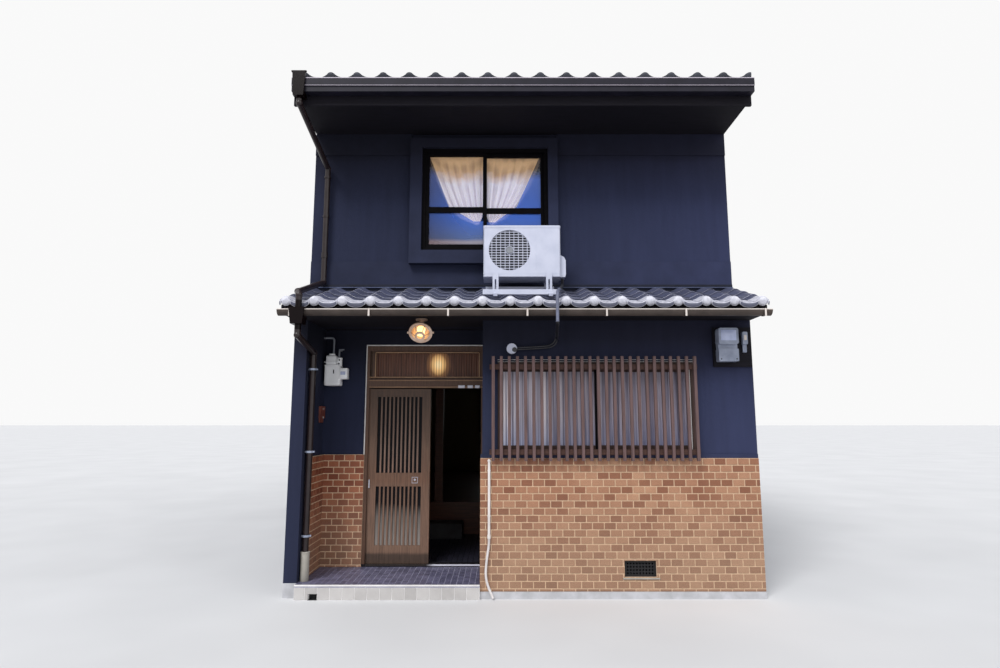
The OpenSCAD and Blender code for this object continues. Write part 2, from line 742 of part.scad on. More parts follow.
upper_hopper_x = -2235;
module gutter_outlet() {
    y = main_gutter_y;
    hopper(upper_hopper_x, y - 20, y - 2, y + 90, 4880, main_gutter_z - 2, 5140, 150, 104);
}
module upper_strap(z)
    strap(upper_pipe_x, upper_pipe_y, z, [upper_pipe_x - 9, upper_pipe_y], [upper_pipe_x + 9, upper_y]);
module upper_downpipe() color("#3b2a2a") {
    y = main_gutter_y + 38;
    gutter_outlet();
    pipe([[upper_hopper_x, y, 4885], [upper_hopper_x, y, 4820], [upper_pipe_x, upper_pipe_y, 4467],
          [upper_pipe_x, upper_pipe_y, pent_crest_z(upper_pipe_y) + 58],
          [upper_pipe_x, pent_eave_y - 20, pent_crest_z(pent_eave_y - 20) + 62],
          [lower_hopper_x, pent_gutter_y - 15, 2850], [lower_hopper_x, pent_gutter_y - 15, 2690]], pipe_d);
    // Coupling sleeve, and straps to the wall
    translate([upper_pipe_x, upper_pipe_y, 3440]) cylinder(h = 60, d = pipe_d + 10);
    for (z = [3900, 4350]) upper_strap(z);
    // Rear outlet and pipe
    rear_side() {
        gutter_outlet();
        pipe([[upper_hopper_x, y, 4885], [upper_hopper_x, y, 4820], [upper_pipe_x, upper_pipe_y, 4467],
              [upper_pipe_x, upper_pipe_y, 60]], pipe_d);
        for (z = [900, 2100, 3300]) upper_strap(z);
    }
}

// Equipment

module ac_unit() color("whitesmoke") {
    difference() {
        translate([0, 0, ac_z0]) linear_extrude(ac_z1 - ac_z0)
            rounded([ac_x0, ac_y], [ac_x1, ac_y + ac_d], ac_corner);
        translate([fan_x, ac_y - 1, fan_z]) rotate([-90, 0, 0]) cylinder(h = 41, r = fan_r);
        // Handle recess in the end, and the joint under the lid
        block([ac_x0 - 1, ac_y + 90, ac_z1 - 110], [ac_x0 + 14, ac_y + 190, ac_z1 - 70]);
    }
    // Lid, a little larger than the casing
    translate([0, 0, ac_z1 - 24]) linear_extrude(24)
        rounded([ac_x0 - 3, ac_y - 3], [ac_x1 + 3, ac_y + ac_d], ac_corner);
    // Hub of the fan
    translate([fan_x, ac_y + 12, fan_z]) rotate([-90, 0, 0]) cylinder(h = 28, d = 90);
    // Wire guard over the fan
    intersection() {
        translate([fan_x, ac_y + 4, fan_z]) rotate([-90, 0, 0]) cylinder(h = 4, r = fan_r);
        union() {
            for (i = [-4:4])
                block([fan_x + i * 45 - 3, ac_y + 4, ac_z0], [fan_x + i * 45 + 3, ac_y + 8, ac_z1]);
            for (i = [-7:7])
                block([ac_x0, ac_y + 4, fan_z + i * 27 - 3], [ac_x1, ac_y + 8, fan_z + i * 27 + 3]);
        }
    }
    // Cover over the valves
    facing(ac_y + 60, ac_y + 230) polygon([
        [ac_x1 - 5, ac_z0 + 10], [ac_x1 + 50, ac_z0 + 10], [ac_x1 + 57, ac_z0 + 40],
        [ac_x1 + 57, ac_z0 + 183], [ac_x1 + 40, ac_z0 + 218], [ac_x1 - 5, ac_z0 + 245]
    ]);
}

module ac_stand() color("white") {
    foot_y = rail_front_y - 10;
    back_y = ac_y + 215;
    bearer_h = 30;
    for (x = leg_xs) {
        // Foot along the rolls of the tiles
        up_slope(foot_y, pent_z(foot_y), pent_angle, back_y + 40 - foot_y)
            sheet([x - 20, tile_rise + tile_t], [x + 20, tile_rise + tile_t + 26]);
        // Slotted front leg up to the casing's face, rear leg, and the bearer between them
        difference() {
            block([x - leg_w / 2, ac_y - 12, pent_crest_z(ac_y) + 8], [x + leg_w / 2, ac_y - 4, ac_z0 + 38]);
            block([x - 8, ac_y - 13, 2990], [x + 8, ac_y - 3, ac_z0 - 20]);
        }
        block([x - leg_w / 2, back_y, pent_crest_z(back_y + 40) + 2], [x + leg_w / 2, back_y + 40, ac_z0 - bearer_h]);
        block([x - leg_w / 2, ac_y - 12, ac_z0 - bearer_h], [x + leg_w / 2, back_y + 60, ac_z0]);
    }
    // Front and rear rails
    for (rail = [[ac_x0, rail_front_y, 40, 50], [ac_x0 + 20, back_y + 4, 30, 32]]) {
        z = pent_crest_z(rail[1] + rail[2]);
        block([rail[0], rail[1], z], [rail_x1, rail[1] + rail[2], z + rail[3]]);
    }
}

module ac_line_set() color("#3a3a40") {
    pipe(line_upper, 44);
    pipe(line_lower, 30);
    translate([-112, face_y - 60, 2393]) rotate([-90, 0, 0]) cylinder(h = 60, d = 104);
}

module drain_pipe() color("lightgray") {
    y = bay_y - 20;
    pipe([[drain_x, bay_y, 1290], [drain_x, y, 1290], [drain_x, y, hose_top_z]], 26);
    translate([drain_x, y, hose_top_z]) cylinder(h = 34, d = 34);
    for (z = [760, 1190]) block([drain_x - 16, y, z], [drain_x + 16, bay_y, z + 12]);
}

// A tube with flat ends that follows a list of points
function unit(v) = v / norm(v);
function heading(p, i) = unit(p[min(i + 1, len(p) - 1)] - p[max(i - 1, 0)]);
function ring(centre, along, r, sides) =
    let (a = unit(cross(along, [0, 1, 0])), b = cross(along, a))
    [for (k = [0:sides - 1]) centre + r * (cos(360 * k / sides) * a + sin(360 * k / sides) * b)];
module hose_tube(path, d, sides) {
    points = [for (i = [0:len(path) - 1]) each ring(path[i], heading(path, i), d / 2, sides)];
    last = (len(path) - 1) * sides;
    walls = [for (i = [0:len(path) - 2]) for (k = [0:sides - 1])
        [i * sides + k, i * sides + (k + 1) % sides, (i + 1) * sides + (k + 1) % sides, (i + 1) * sides + k]];
    polyhedron(points, concat(walls,
        [[for (k = [sides - 1:-1:0]) k]], [[for (k = [0:sides - 1]) last + k]]));
}
module drain_hose() color("gainsboro") hose_tube(hose_path, hose_d, 8);

// Turns the lamp's own axis, which is +Z, down towards the street
module lamp_head() translate([lamp_x, lamp_y, lamp_z]) rotate([90 + lamp_tilt, 0, 0]) children();

module porch_lamp() color("goldenrod") {
    // Ceiling plate and neck
    translate([lamp_x, lamp_y + 75, pent_soffit_z - 14]) cylinder(h = 14, d = 118);
    translate([lamp_x, lamp_y + 75, lamp_z + 57]) cylinder(h = pent_soffit_z - lamp_z - 67, d = 50);
    lamp_head() {
        translate([0, 0, -112]) cylinder(h = 32, d = 58);
        // Dish with a flange round its mouth
        rotate_extrude() polygon([
            [0, -84], [52, -84], [68, -66], [98, -6], [117, -6], [117, 9], [88, 9], [84, 2], [58, -58], [0, -58]
        ]);
        // Cage: three hoops of straight bars, joined at the front
        for (a = [0:60:300]) rotate(a) bar([100, 0, 3], [40, 0, 66], 7);
        translate([0, 0, 60]) difference() {
            cylinder(h = 12, r = 50);
            translate([0, 0, -1]) cylinder(h = 14, r = 30);
        }
        // Lugs at both sides
        for (s = [-1, 1]) block([s * 122 - 10, -9, -6], [s * 122 + 10, 9, 5]);
    }
}

module lamp_globe() color("lightyellow") lamp_head() {
    translate([0, 0, -58]) cylinder(h = 68, d = globe_d);
    rotate_extrude() polygon(concat([[0, 0]], arc([0, 0], globe_d / 2 - 3, 0, 90, 8)));
}

module meter_board() color("#3b302b") block([1914, face_y - 20, 2213], [2300, face_y, 2612]);

module electric_meter() color("silver") {
    y = face_y - 20;
    // Meter with its glazed upper half, and the terminal cover below
    facing(y - 105, y) rounded([1940, 2430], [2137, 2594], 22);
    facing(y - 70, y) rounded([1944, 2385], [2133, 2436], 8, 3);
    facing(y - 92, y) rounded([1940, 2262], [2137, 2388], 10, 3);
    // Breaker with its bracket
    facing(y - 44, y) rounded([2201, 2437], [2251, 2563], 9, 3);
    facing(y - 18, y) rounded([2206, 2358], [2246, 2440], 6, 3);
}

module gas_meter() color("gainsboro") {
    wall = alcove_y;
    mid_y = wall - 85;
    // Two-lobed body under a square head, with its register box
    facing(wall - 150, wall - 22) {
        rounded([-2150, 2054], [-2058, 2280], 34);
        rounded([-2066, 2054], [-1968, 2280], 34);
    }
    facing(wall - 140, wall - 30) rounded([-2150, 2262], [-1962, 2403], 26);
    facing(wall - 158, wall - 40) rounded([-1980, 2132], [-1891, 2262], 10, 3);
    // Bracket to the wall
    block([-2100, wall - 30, 2300], [-2010, wall, 2360]);
    // Inlet and outlet, each with an elbow
    pipe([[-2051, mid_y, 2395], [-2051, mid_y, 2599], [-inner_x, mid_y, 2599]], 30);
    pipe([[-2001, mid_y, 2395], [-2001, mid_y, 2499], [-1946, wall - 60, 2499], [-1946, wall, 2499]], 30);
    for (x = [-2051, -2001]) translate([x, mid_y, 2398]) cylinder(h = 34, d = 44, $fn = 6);
}

module intercom() color("#7a3a32") {
    block([-inner_x, alcove_y - 180, 1708], [-inner_x + 30, alcove_y - 40, 1836]);
    block([-inner_x, alcove_y - 170, 1661], [-inner_x + 16, alcove_y - 50, 1708]);
}

module vent_grille() color("#1d1b1b") facing(face_y + 6, face_y + 12) difference() {
    sheet([vent_x0, vent_z0], [vent_x0 + vent_w, vent_z0 + vent_h]);
    for (i = [0:8], k = [0:3])
        translate([vent_x0 + 33 + i * 30, vent_z0 + 30 + k * 30]) circle(d = 18);
}

foundation();
entrance_step();
tile_floors();
step_stone();
raised_floor();
inner_post();
upper_floor();
left_party_wall();
right_party_wall();
bay_front_wall();
bay_side_wall();
entrance_wall_side();
entrance_wall_over();
upper_front_wall();
rear_wall();
bay_brickwork();
alcove_brickwork();
wall_trim();
window_surround();
upper_window_frame();
upper_window_glass();
curtain_left();
curtain_right();
bay_window_frame();
bay_window_glass();
bay_lattice();
rear_window_frames();
rear_window_glass();
entrance_frame();
transom_glass();
door_leaf_outer();
door_glass_outer();
door_leaf_inner();
door_glass_inner();
pent_roof_frame();
pent_roof_tiles();
main_roof_deck_front();
main_roof_deck_rear();
main_roof_tiles_front();
main_roof_tiles_rear();
roof_ridge();
main_eaves();
pent_gutter();
main_gutters();
lower_downpipe();
upper_downpipe();
ac_unit();
ac_stand();
ac_line_set();
drain_pipe();
drain_hose();
porch_lamp();
lamp_globe();
meter_board();
electric_meter();
gas_meter();
intercom();
vent_grille();
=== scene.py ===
"""A two-storey machiya townhouse of a terraced row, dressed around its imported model.

Laid out as an add-on: settings, one operator for each piece or group of like pieces,
a panel that lists them, and a main function that calls them in order. Lengths are metres.
X runs to the right along the street, Y away from it and Z upwards.
"""

import json
import math
import random

import bmesh
import bpy
from bpy.props import FloatProperty, FloatVectorProperty, PointerProperty
from mathutils import Vector
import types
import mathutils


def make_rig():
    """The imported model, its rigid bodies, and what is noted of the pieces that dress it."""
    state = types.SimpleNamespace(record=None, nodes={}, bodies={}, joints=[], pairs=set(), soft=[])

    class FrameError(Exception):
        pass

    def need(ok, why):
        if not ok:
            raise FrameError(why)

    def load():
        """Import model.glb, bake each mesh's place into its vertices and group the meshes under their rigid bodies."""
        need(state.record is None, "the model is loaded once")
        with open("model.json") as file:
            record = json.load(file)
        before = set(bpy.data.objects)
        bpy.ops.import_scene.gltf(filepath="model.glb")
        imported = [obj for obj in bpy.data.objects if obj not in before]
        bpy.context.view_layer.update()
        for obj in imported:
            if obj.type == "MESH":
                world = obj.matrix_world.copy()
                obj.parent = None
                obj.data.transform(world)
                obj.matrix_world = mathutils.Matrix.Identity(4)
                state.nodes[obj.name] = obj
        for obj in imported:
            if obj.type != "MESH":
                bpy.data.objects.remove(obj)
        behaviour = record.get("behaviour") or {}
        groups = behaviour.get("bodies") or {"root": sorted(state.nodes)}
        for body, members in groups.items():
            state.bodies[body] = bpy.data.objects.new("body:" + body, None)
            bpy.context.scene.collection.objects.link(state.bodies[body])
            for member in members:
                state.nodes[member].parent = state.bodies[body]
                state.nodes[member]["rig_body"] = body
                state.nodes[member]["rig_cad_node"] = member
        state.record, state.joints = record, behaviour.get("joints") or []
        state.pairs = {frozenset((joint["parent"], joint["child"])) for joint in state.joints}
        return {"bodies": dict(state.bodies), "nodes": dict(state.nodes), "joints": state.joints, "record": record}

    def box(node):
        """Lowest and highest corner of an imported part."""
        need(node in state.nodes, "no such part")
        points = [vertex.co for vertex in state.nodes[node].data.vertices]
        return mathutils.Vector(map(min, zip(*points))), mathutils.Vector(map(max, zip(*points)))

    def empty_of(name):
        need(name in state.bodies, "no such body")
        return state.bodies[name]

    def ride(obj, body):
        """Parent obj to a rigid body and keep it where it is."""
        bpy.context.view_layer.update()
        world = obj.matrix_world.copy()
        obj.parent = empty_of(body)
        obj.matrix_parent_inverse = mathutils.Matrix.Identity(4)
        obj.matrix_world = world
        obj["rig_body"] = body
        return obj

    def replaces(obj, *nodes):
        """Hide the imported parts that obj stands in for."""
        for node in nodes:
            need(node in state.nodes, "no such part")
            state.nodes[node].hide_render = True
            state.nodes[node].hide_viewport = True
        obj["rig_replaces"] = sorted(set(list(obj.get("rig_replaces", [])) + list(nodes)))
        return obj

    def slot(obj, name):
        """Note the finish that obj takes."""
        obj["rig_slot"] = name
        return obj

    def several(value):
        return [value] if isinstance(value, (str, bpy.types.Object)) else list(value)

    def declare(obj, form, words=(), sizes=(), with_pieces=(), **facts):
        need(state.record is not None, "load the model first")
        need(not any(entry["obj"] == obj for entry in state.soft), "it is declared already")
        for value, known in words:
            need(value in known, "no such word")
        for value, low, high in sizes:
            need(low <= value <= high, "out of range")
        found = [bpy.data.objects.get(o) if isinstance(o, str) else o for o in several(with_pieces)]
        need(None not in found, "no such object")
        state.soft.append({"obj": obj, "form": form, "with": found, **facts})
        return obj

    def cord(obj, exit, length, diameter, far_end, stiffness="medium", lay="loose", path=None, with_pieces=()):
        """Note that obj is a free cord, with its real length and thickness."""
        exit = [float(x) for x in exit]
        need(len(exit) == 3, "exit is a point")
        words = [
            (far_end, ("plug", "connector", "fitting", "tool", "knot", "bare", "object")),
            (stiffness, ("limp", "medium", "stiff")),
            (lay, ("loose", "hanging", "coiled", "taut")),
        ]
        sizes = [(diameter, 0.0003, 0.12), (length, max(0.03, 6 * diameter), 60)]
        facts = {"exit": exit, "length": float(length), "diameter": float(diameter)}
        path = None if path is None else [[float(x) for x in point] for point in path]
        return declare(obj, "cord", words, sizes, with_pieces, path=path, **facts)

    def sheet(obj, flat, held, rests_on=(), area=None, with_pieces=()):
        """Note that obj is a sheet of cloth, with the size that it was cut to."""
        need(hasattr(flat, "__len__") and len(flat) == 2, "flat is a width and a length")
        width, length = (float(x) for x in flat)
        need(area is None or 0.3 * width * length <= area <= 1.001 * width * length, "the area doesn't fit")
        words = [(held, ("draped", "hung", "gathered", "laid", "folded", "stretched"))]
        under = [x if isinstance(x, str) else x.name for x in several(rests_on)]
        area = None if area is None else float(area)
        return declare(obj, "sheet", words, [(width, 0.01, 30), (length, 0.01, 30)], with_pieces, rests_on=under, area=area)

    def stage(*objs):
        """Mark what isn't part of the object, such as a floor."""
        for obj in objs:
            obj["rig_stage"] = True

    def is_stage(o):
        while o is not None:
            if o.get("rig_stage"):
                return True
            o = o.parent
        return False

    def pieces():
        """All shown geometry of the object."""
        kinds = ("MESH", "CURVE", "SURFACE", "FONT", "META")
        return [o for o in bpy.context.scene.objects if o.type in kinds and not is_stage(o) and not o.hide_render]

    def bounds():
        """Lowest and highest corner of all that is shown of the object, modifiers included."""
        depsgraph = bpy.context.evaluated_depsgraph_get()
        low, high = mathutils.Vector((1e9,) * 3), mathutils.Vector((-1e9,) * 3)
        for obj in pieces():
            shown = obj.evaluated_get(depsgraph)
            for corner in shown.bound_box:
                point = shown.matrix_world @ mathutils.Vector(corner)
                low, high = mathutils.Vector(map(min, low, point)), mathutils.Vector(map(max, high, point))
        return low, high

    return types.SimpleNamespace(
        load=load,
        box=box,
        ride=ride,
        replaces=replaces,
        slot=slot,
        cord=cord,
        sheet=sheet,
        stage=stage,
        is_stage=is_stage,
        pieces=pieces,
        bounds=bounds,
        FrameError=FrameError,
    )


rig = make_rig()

bl_info = {
    "name": "Machiya townhouse",
    "version": (1, 0, 0),
    "blender": (4, 5, 0),
    "location": "View3D > Sidebar > Machiya",
    "description": "Dresses the townhouse with its tiles, bricks, glass, cloth and fittings",
    "category": "Object",
}

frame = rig.load()
NODES = frame["nodes"]
CAD_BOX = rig.bounds()
SIZE_FILE = "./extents.json"

# Planes of the house, read from the model
SIDE_X, REAR_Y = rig.box("foundation")[1].xy
BAY_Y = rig.box("bay_brickwork")[0].y

# Height of the alcove's floor, and where it ends at the bay
ALCOVE_FLOOR = 0.137
ALCOVE_END = -0.423


def tone(code):
    """A colour written as #rrggbb, as the linear values that a shader takes."""
    parts = [int(code[i : i + 2], 16) / 255 for i in (1, 3, 5)]
    return tuple(p / 12.92 if p < 0.04045 else ((p + 0.055) / 1.055) ** 2.4 for p in parts)


def colour_setting(name, code, description):
    return FloatVectorProperty(
        name=name, description=description, subtype="COLOR", size=3, min=0, max=1, default=tone(code)
    )


def length_setting(name, value, description):
    return FloatProperty(
        name=name, description=description, unit="LENGTH", subtype="DISTANCE", min=0, default=value
    )


class MachiyaFinishes(bpy.types.PropertyGroup):
    """Colours of the finishes"""

    wall: colour_setting("Wall", "#292e45", "Charcoal navy render")
    plaster: colour_setting("Plaster", "#8d7f68", "Plaster inside the rooms")
    brick: colour_setting("Brick", "#a87e63", "Tan brick tiles of the bay")
    joint: colour_setting("Joint", "#d2b294", "Joints between the brick tiles")
    roof_tile: colour_setting("Roof tile", "#8d91a0", "Smoked silver roof tiles")
    door_timber: colour_setting("Door timber", "#6c5344", "Bronze-brown stained timber")
    lattice: colour_setting("Lattice", "#5f4a49", "Red-brown lattice bars")
    dark_timber: colour_setting("Dark timber", "#15131a", "Dark boards under the eaves")


class MachiyaSizes(bpy.types.PropertyGroup):
    """Sizes of the repeated pieces"""

    brick_length: length_setting("Brick length", 0.105, "Length of one brick tile")
    brick_height: length_setting("Brick height", 0.058, "Height of one brick tile")
    brick_joint: length_setting("Brick joint", 0.010, "Width of the joints")
    tile_pitch: length_setting("Tile pitch", 0.265, "Width that one roof tile covers")
    floor_tile: length_setting("Floor tile", 0.054, "Side of one floor tile")
    riser_tile: length_setting("Riser tile", 0.113, "Width of one tile of the step's riser")


def sizes():
    return bpy.context.scene.machiya_sizes


def chosen(name):
    """One of the colours set in the panel."""
    return tuple(getattr(bpy.context.scene.machiya_finishes, name))


# Selecting and shaping, as by hand


def deselect():
    """Leaves edit mode and selects nothing."""
    if bpy.context.object and bpy.context.object.mode != "OBJECT":
        bpy.ops.object.mode_set(mode="OBJECT")
    bpy.ops.object.select_all(action="DESELECT")


def take(piece):
    """Selects one piece alone and makes it active."""
    deselect()
    piece.select_set(True)
    bpy.context.view_layer.objects.active = piece
    return piece


def settle(piece):
    """Puts the piece's place, turn and size into its mesh."""
    take(piece)
    bpy.ops.object.transform_apply(location=True, rotation=True, scale=True)
    return piece


def place(piece, where, turn=(0, 0, 0)):
    """Turns a piece about its origin and moves it there."""
    piece.rotation_euler = turn
    piece.location = where
    return settle(piece)


def modify(piece, kind, **settings):
    """Adds one modifier and applies it."""
    take(piece)
    modifier = piece.modifiers.new(kind.title(), kind)
    for name, value in settings.items():
        setattr(modifier, name, value)
    bpy.ops.object.modifier_apply(modifier=modifier.name)
    return piece


def soften(piece, width, segments=1):
    """Bevels every sharp edge."""
    return modify(
        piece, "BEVEL", width=width, segments=segments, limit_method="ANGLE", angle_limit=math.radians(35)
    )


def repeat(piece, count, step):
    """Makes a row of copies, each a step from the last."""
    return modify(
        piece, "ARRAY", count=count, use_relative_offset=False, use_constant_offset=True,
        constant_offset_displace=step,
    )


def subtract(piece, tool, solver="FAST"):
    """Cuts the shape of a tool out of the piece and throws the tool away."""
    modify(piece, "BOOLEAN", operation="DIFFERENCE", solver=solver, object=tool)
    bpy.data.objects.remove(tool)
    return piece


def shape(piece, domain, test, operator, **settings):
    """Runs one edit-mode operator on the faces or points that a test picks by their place."""
    take(piece)
    bpy.ops.object.mode_set(mode="EDIT")
    bpy.ops.mesh.select_mode(type=domain)
    bpy.ops.mesh.select_all(action="DESELECT")
    mesh = bmesh.from_edit_mesh(piece.data)
    if domain == "FACE":
        for face in mesh.faces:
            face.select_set(bool(test(face.calc_center_median(), face.normal)))
    else:
        for point in mesh.verts:
            point.select_set(bool(test(point.co)))
        mesh.select_flush(True)
    bmesh.update_edit_mesh(piece.data)
    operator(**settings)
    bpy.ops.object.mode_set(mode="OBJECT")
    return piece


def inset_front(piece, thickness, depth=0.0, test=lambda at, way: True):
    """Insets the faces that look at the street, or those of them that a test picks."""
    return shape(
        piece, "FACE", lambda at, way: way.y < -0.9 and test(at, way), bpy.ops.mesh.inset,
        thickness=thickness, depth=depth,
    )


def cut_away(piece, point, normal):
    """Cuts the piece at a plane and fills the cut. What the normal points at goes."""
    return shape(
        piece, "VERT", lambda co: True, bpy.ops.mesh.bisect,
        plane_co=point, plane_no=normal, use_fill=True, clear_outer=True,
    )


def mirror(piece, plane_y):
    """Puts the piece on the other side of a plane across Y, with its faces pointing outwards."""
    piece.scale.y = -1
    piece.location.y = 2 * plane_y
    settle(piece)
    return shape(piece, "FACE", lambda at, way: True, bpy.ops.mesh.flip_normals)


def join(pieces):
    """Joins several pieces into the first of them."""
    deselect()
    for piece in pieces:
        piece.select_set(True)
    bpy.context.view_layer.objects.active = pieces[0]
    bpy.ops.object.join()
    return pieces[0]


def add_box(low, high, edge=0.0, segments=1):
    """A block between two corners, with its edges eased."""
    low, high = Vector(low), Vector(high)
    deselect()
    bpy.ops.mesh.primitive_cube_add(size=1, location=(low + high) / 2)
    piece = bpy.context.object
    piece.scale = high - low
    settle(piece)
    return soften(piece, edge, segments) if edge else piece


def add_rod(start, end, radius, sides=16, edge=0.0):
    """A round bar from one point to another."""
    start, end = Vector(start), Vector(end)
    along = end - start
    deselect()
    bpy.ops.mesh.primitive_cylinder_add(
        vertices=sides, radius=radius, depth=along.length, location=(start + end) / 2
    )
    piece = bpy.context.object
    piece.rotation_euler = along.to_track_quat("Z", "Y").to_euler()
    settle(piece)
    return soften(piece, edge) if edge else piece


def add_ring(centre, radius, thickness):
    """A thin round ring that lies level."""
    deselect()
    bpy.ops.mesh.primitive_torus_add(
        location=centre, major_radius=radius, minor_radius=thickness, major_segments=32, minor_segments=8
    )
    return settle(bpy.context.object)


def add_sheet(columns, rows, bend):
    """A grid of faces whose points lie where bend(across, up) says. Both run from 0 to 1."""
    deselect()
    bpy.ops.mesh.primitive_grid_add(x_subdivisions=columns, y_subdivisions=rows, size=1)
    sheet = bpy.context.object
    for point in sheet.data.vertices:
        point.co = bend(point.co.x + 0.5, point.co.y + 0.5)
    return sheet


def add_tube(path, radius, sides=12):
    """A round tube along a line through the points."""
    line = bpy.data.curves.new("tube", "CURVE")
    line.dimensions = "3D"
    line.bevel_depth = radius
    line.bevel_resolution = sides // 4 - 1
    line.use_fill_caps = True
    spline = line.splines.new("POLY")
    spline.points.add(len(path) - 1)
    for point, spot in zip(spline.points, path):
        point.co = (*spot, 1)
    tube = bpy.data.objects.new("tube", line)
    bpy.context.scene.collection.objects.link(tube)
    take(tube)
    bpy.ops.object.convert(target="MESH")
    return bpy.context.object


def rounded_path(points, radius):
    """The same route with its corners rounded."""
    steps = 5
    points = [Vector(p) for p in points]
    route = [points[0]]
    for before, corner, after in zip(points, points[1:], points[2:]):
        reach = min(radius, (before - corner).length / 2.2, (after - corner).length / 2.2)
        start = corner + (before - corner).normalized() * reach
        end = corner + (after - corner).normalized() * reach
        for i in range(steps + 1):
            t = i / steps
            route.append(start * (1 - t) ** 2 + corner * 2 * t * (1 - t) + end * t * t)
    return route + [points[-1]]


# Numbers on faces and points, which the materials read


def record(piece, name, values, domain="FACE"):
    """Stores one number for each face or point."""
    piece.data.attributes.new(name, "FLOAT", domain).data.foreach_set("value", values)
    return piece


def tint_copies(piece, faces_each, seed):
    """Gives each copy in a joined row a shade of its own."""
    draw = random.Random(seed)
    count = len(piece.data.polygons)
    shades = [draw.random() for _ in range(count // faces_each + 1)]
    return record(piece, "shade", [shades[i // faces_each] for i in range(count)])


def tint_by_place(piece, cell, seed):
    """Gives each brick a shade of its own, by the cell that its faces lie in."""
    draw = random.Random(seed)
    shades = {}
    values = []
    for face in piece.data.polygons:
        key = cell(face.center)
        if key not in shades:
            shades[key] = draw.random()
        values.append(shades[key])
    return record(piece, "shade", values)


def mark_highlight(piece, amount):
    """Stores how much painted highlight each face of a tile takes."""
    return record(piece, "painted_highlight", [amount(face) for face in piece.data.polygons])


# Finishing


def finish_piece(pieces, name, finish, slot, body="house", replaced=None, smooth=35):
    """Joins a list of pieces, names the whole, gives it its material and ties it to its body."""
    piece = settle(join(pieces) if isinstance(pieces, list) else pieces)
    piece.name = name
    piece.data.name = name
    piece.data.materials.clear()
    piece.data.materials.append(material(finish))
    if smooth:
        bpy.ops.object.shade_smooth_by_angle(angle=math.radians(smooth))
    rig.ride(piece, body)
    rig.slot(piece, slot)
    if replaced:
        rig.replaces(piece, replaced)
    return piece


# Materials

WHITE = (1.0, 1.0, 1.0)
INNER_FACE = 0.128  # depth just short of the inside faces of the outer walls


def scaled(colour, factor):
    """A colour made lighter or darker by one factor, or by one for each of its parts."""
    factors = factor if isinstance(factor, tuple) else (factor,) * 3
    return tuple(part * share for part, share in zip(colour, factors))


class Finish:
    """A node material that is built up from its place on the object."""

    def __init__(self, name):
        self.material = bpy.data.materials.new(name)
        self.material.use_nodes = True
        self.tree = self.material.node_tree
        self.shader = self.tree.nodes["Principled BSDF"]
        self.place = self.node("ShaderNodeTexCoord", "Object")

    def feed(self, socket, value):
        """Links a socket to another one, or sets its value."""
        if isinstance(value, bpy.types.NodeSocket):
            self.tree.links.new(value, socket)
        elif hasattr(value, "__len__") and socket.type == "RGBA":
            socket.default_value = (*value, 1)
        else:
            socket.default_value = value

    def node(self, kind, output, inputs=None, **settings):
        """Adds a node, sets or links its inputs and returns one of its outputs."""
        made = self.tree.nodes.new(kind)
        for name, value in settings.items():
            setattr(made, name, value)
        for name, value in (inputs or {}).items():
            self.feed(made.inputs[name], value)
        return made.outputs[output]

    def set(self, **values):
        """Sets or links the shader's own sockets, named with underscores."""
        for name, value in values.items():
            self.feed(self.shader.inputs[name.replace("_", " ")], value)
        return self

    def colour(self):
        """What feeds the shader's base colour so far."""
        return self.shader.inputs["Base Color"].links[0].from_socket

    def stretched(self, x, y, z):
        return self.node("ShaderNodeMapping", "Vector", {"Vector": self.place, "Scale": (x, y, z)})

    def noise(self, scale, detail, rough=0.55, at=None):
        inputs = {"Vector": at or self.place, "Scale": scale, "Detail": detail, "Roughness": rough}
        return self.node("ShaderNodeTexNoise", "Fac", inputs)

    def cells(self, scale):
        return self.node("ShaderNodeTexVoronoi", "Distance", {"Vector": self.place, "Scale": scale})

    def stored(self, name):
        """A number that was recorded on the piece's faces or points."""
        return self.node("ShaderNodeAttribute", "Fac", attribute_name=name)

    def axis(self, name):
        return self.node("ShaderNodeSeparateXYZ", name, {0: self.place})

    def maths(self, operation, first, second):
        return self.node("ShaderNodeMath", 0, {0: first, 1: second}, operation=operation)

    def times(self, first, second):
        return self.maths("MULTIPLY", first, second)

    def plus(self, first, second):
        return self.maths("ADD", first, second)

    def wavering(self, name, scale, detail, amount):
        """The place along one axis, pushed about by noise so that nothing ends at a straight line."""
        return self.plus(self.axis(name), self.times(self.noise(scale, detail), amount))

    def within(self, low, high):
        """1 inside a box and 0 outside it."""
        share = 1.0
        for name, start, end in zip("XYZ", low, high):
            where = self.axis(name)
            share = self.times(share, self.maths("GREATER_THAN", where, start))
            share = self.times(share, self.maths("LESS_THAN", where, end))
        return share

    def ramp(self, value, *stops):
        """A colour ramp through (position, colour) stops."""
        made = self.tree.nodes.new("ShaderNodeValToRGB")
        self.feed(made.inputs["Fac"], value)
        marks = made.color_ramp.elements
        while len(marks) < len(stops):
            marks.new(0.5)
        for mark, (position, colour) in zip(marks, stops):
            mark.position = position
            mark.color = (*colour, 1) if hasattr(colour, "__len__") else (colour, colour, colour, 1)
        return made.outputs["Color"]

    def blend(self, share, first, second, mode="MIX"):
        inputs = {"Factor": share, "A": first, "B": second}
        return self.node("ShaderNodeMix", "Result", inputs, data_type="RGBA", blend_type=mode)

    def tinted(self, colour, *tints, share=1.0):
        """A colour multiplied by others."""
        for tint in tints:
            colour = self.blend(share, colour, tint, "MULTIPLY")
        return colour

    def bump(self, height, distance, strength):
        inputs = {"Height": height, "Distance": distance, "Strength": strength}
        return self.set(Normal=self.node("ShaderNodeBump", "Normal", inputs))


MAKERS = {}
MATERIALS = {}


def maker(function):
    """Lists a function under its own name as what makes that material."""
    MAKERS[function.__name__] = function
    return function


def material(name):
    """A finish by name, made the first time it is asked for."""
    if name not in MATERIALS:
        f = Finish(name)
        if name in MOULDED:
            moulded(f, **MOULDED[name])
        else:
            MAKERS[name](f)
        MATERIALS[name] = f.material
    return MATERIALS[name]


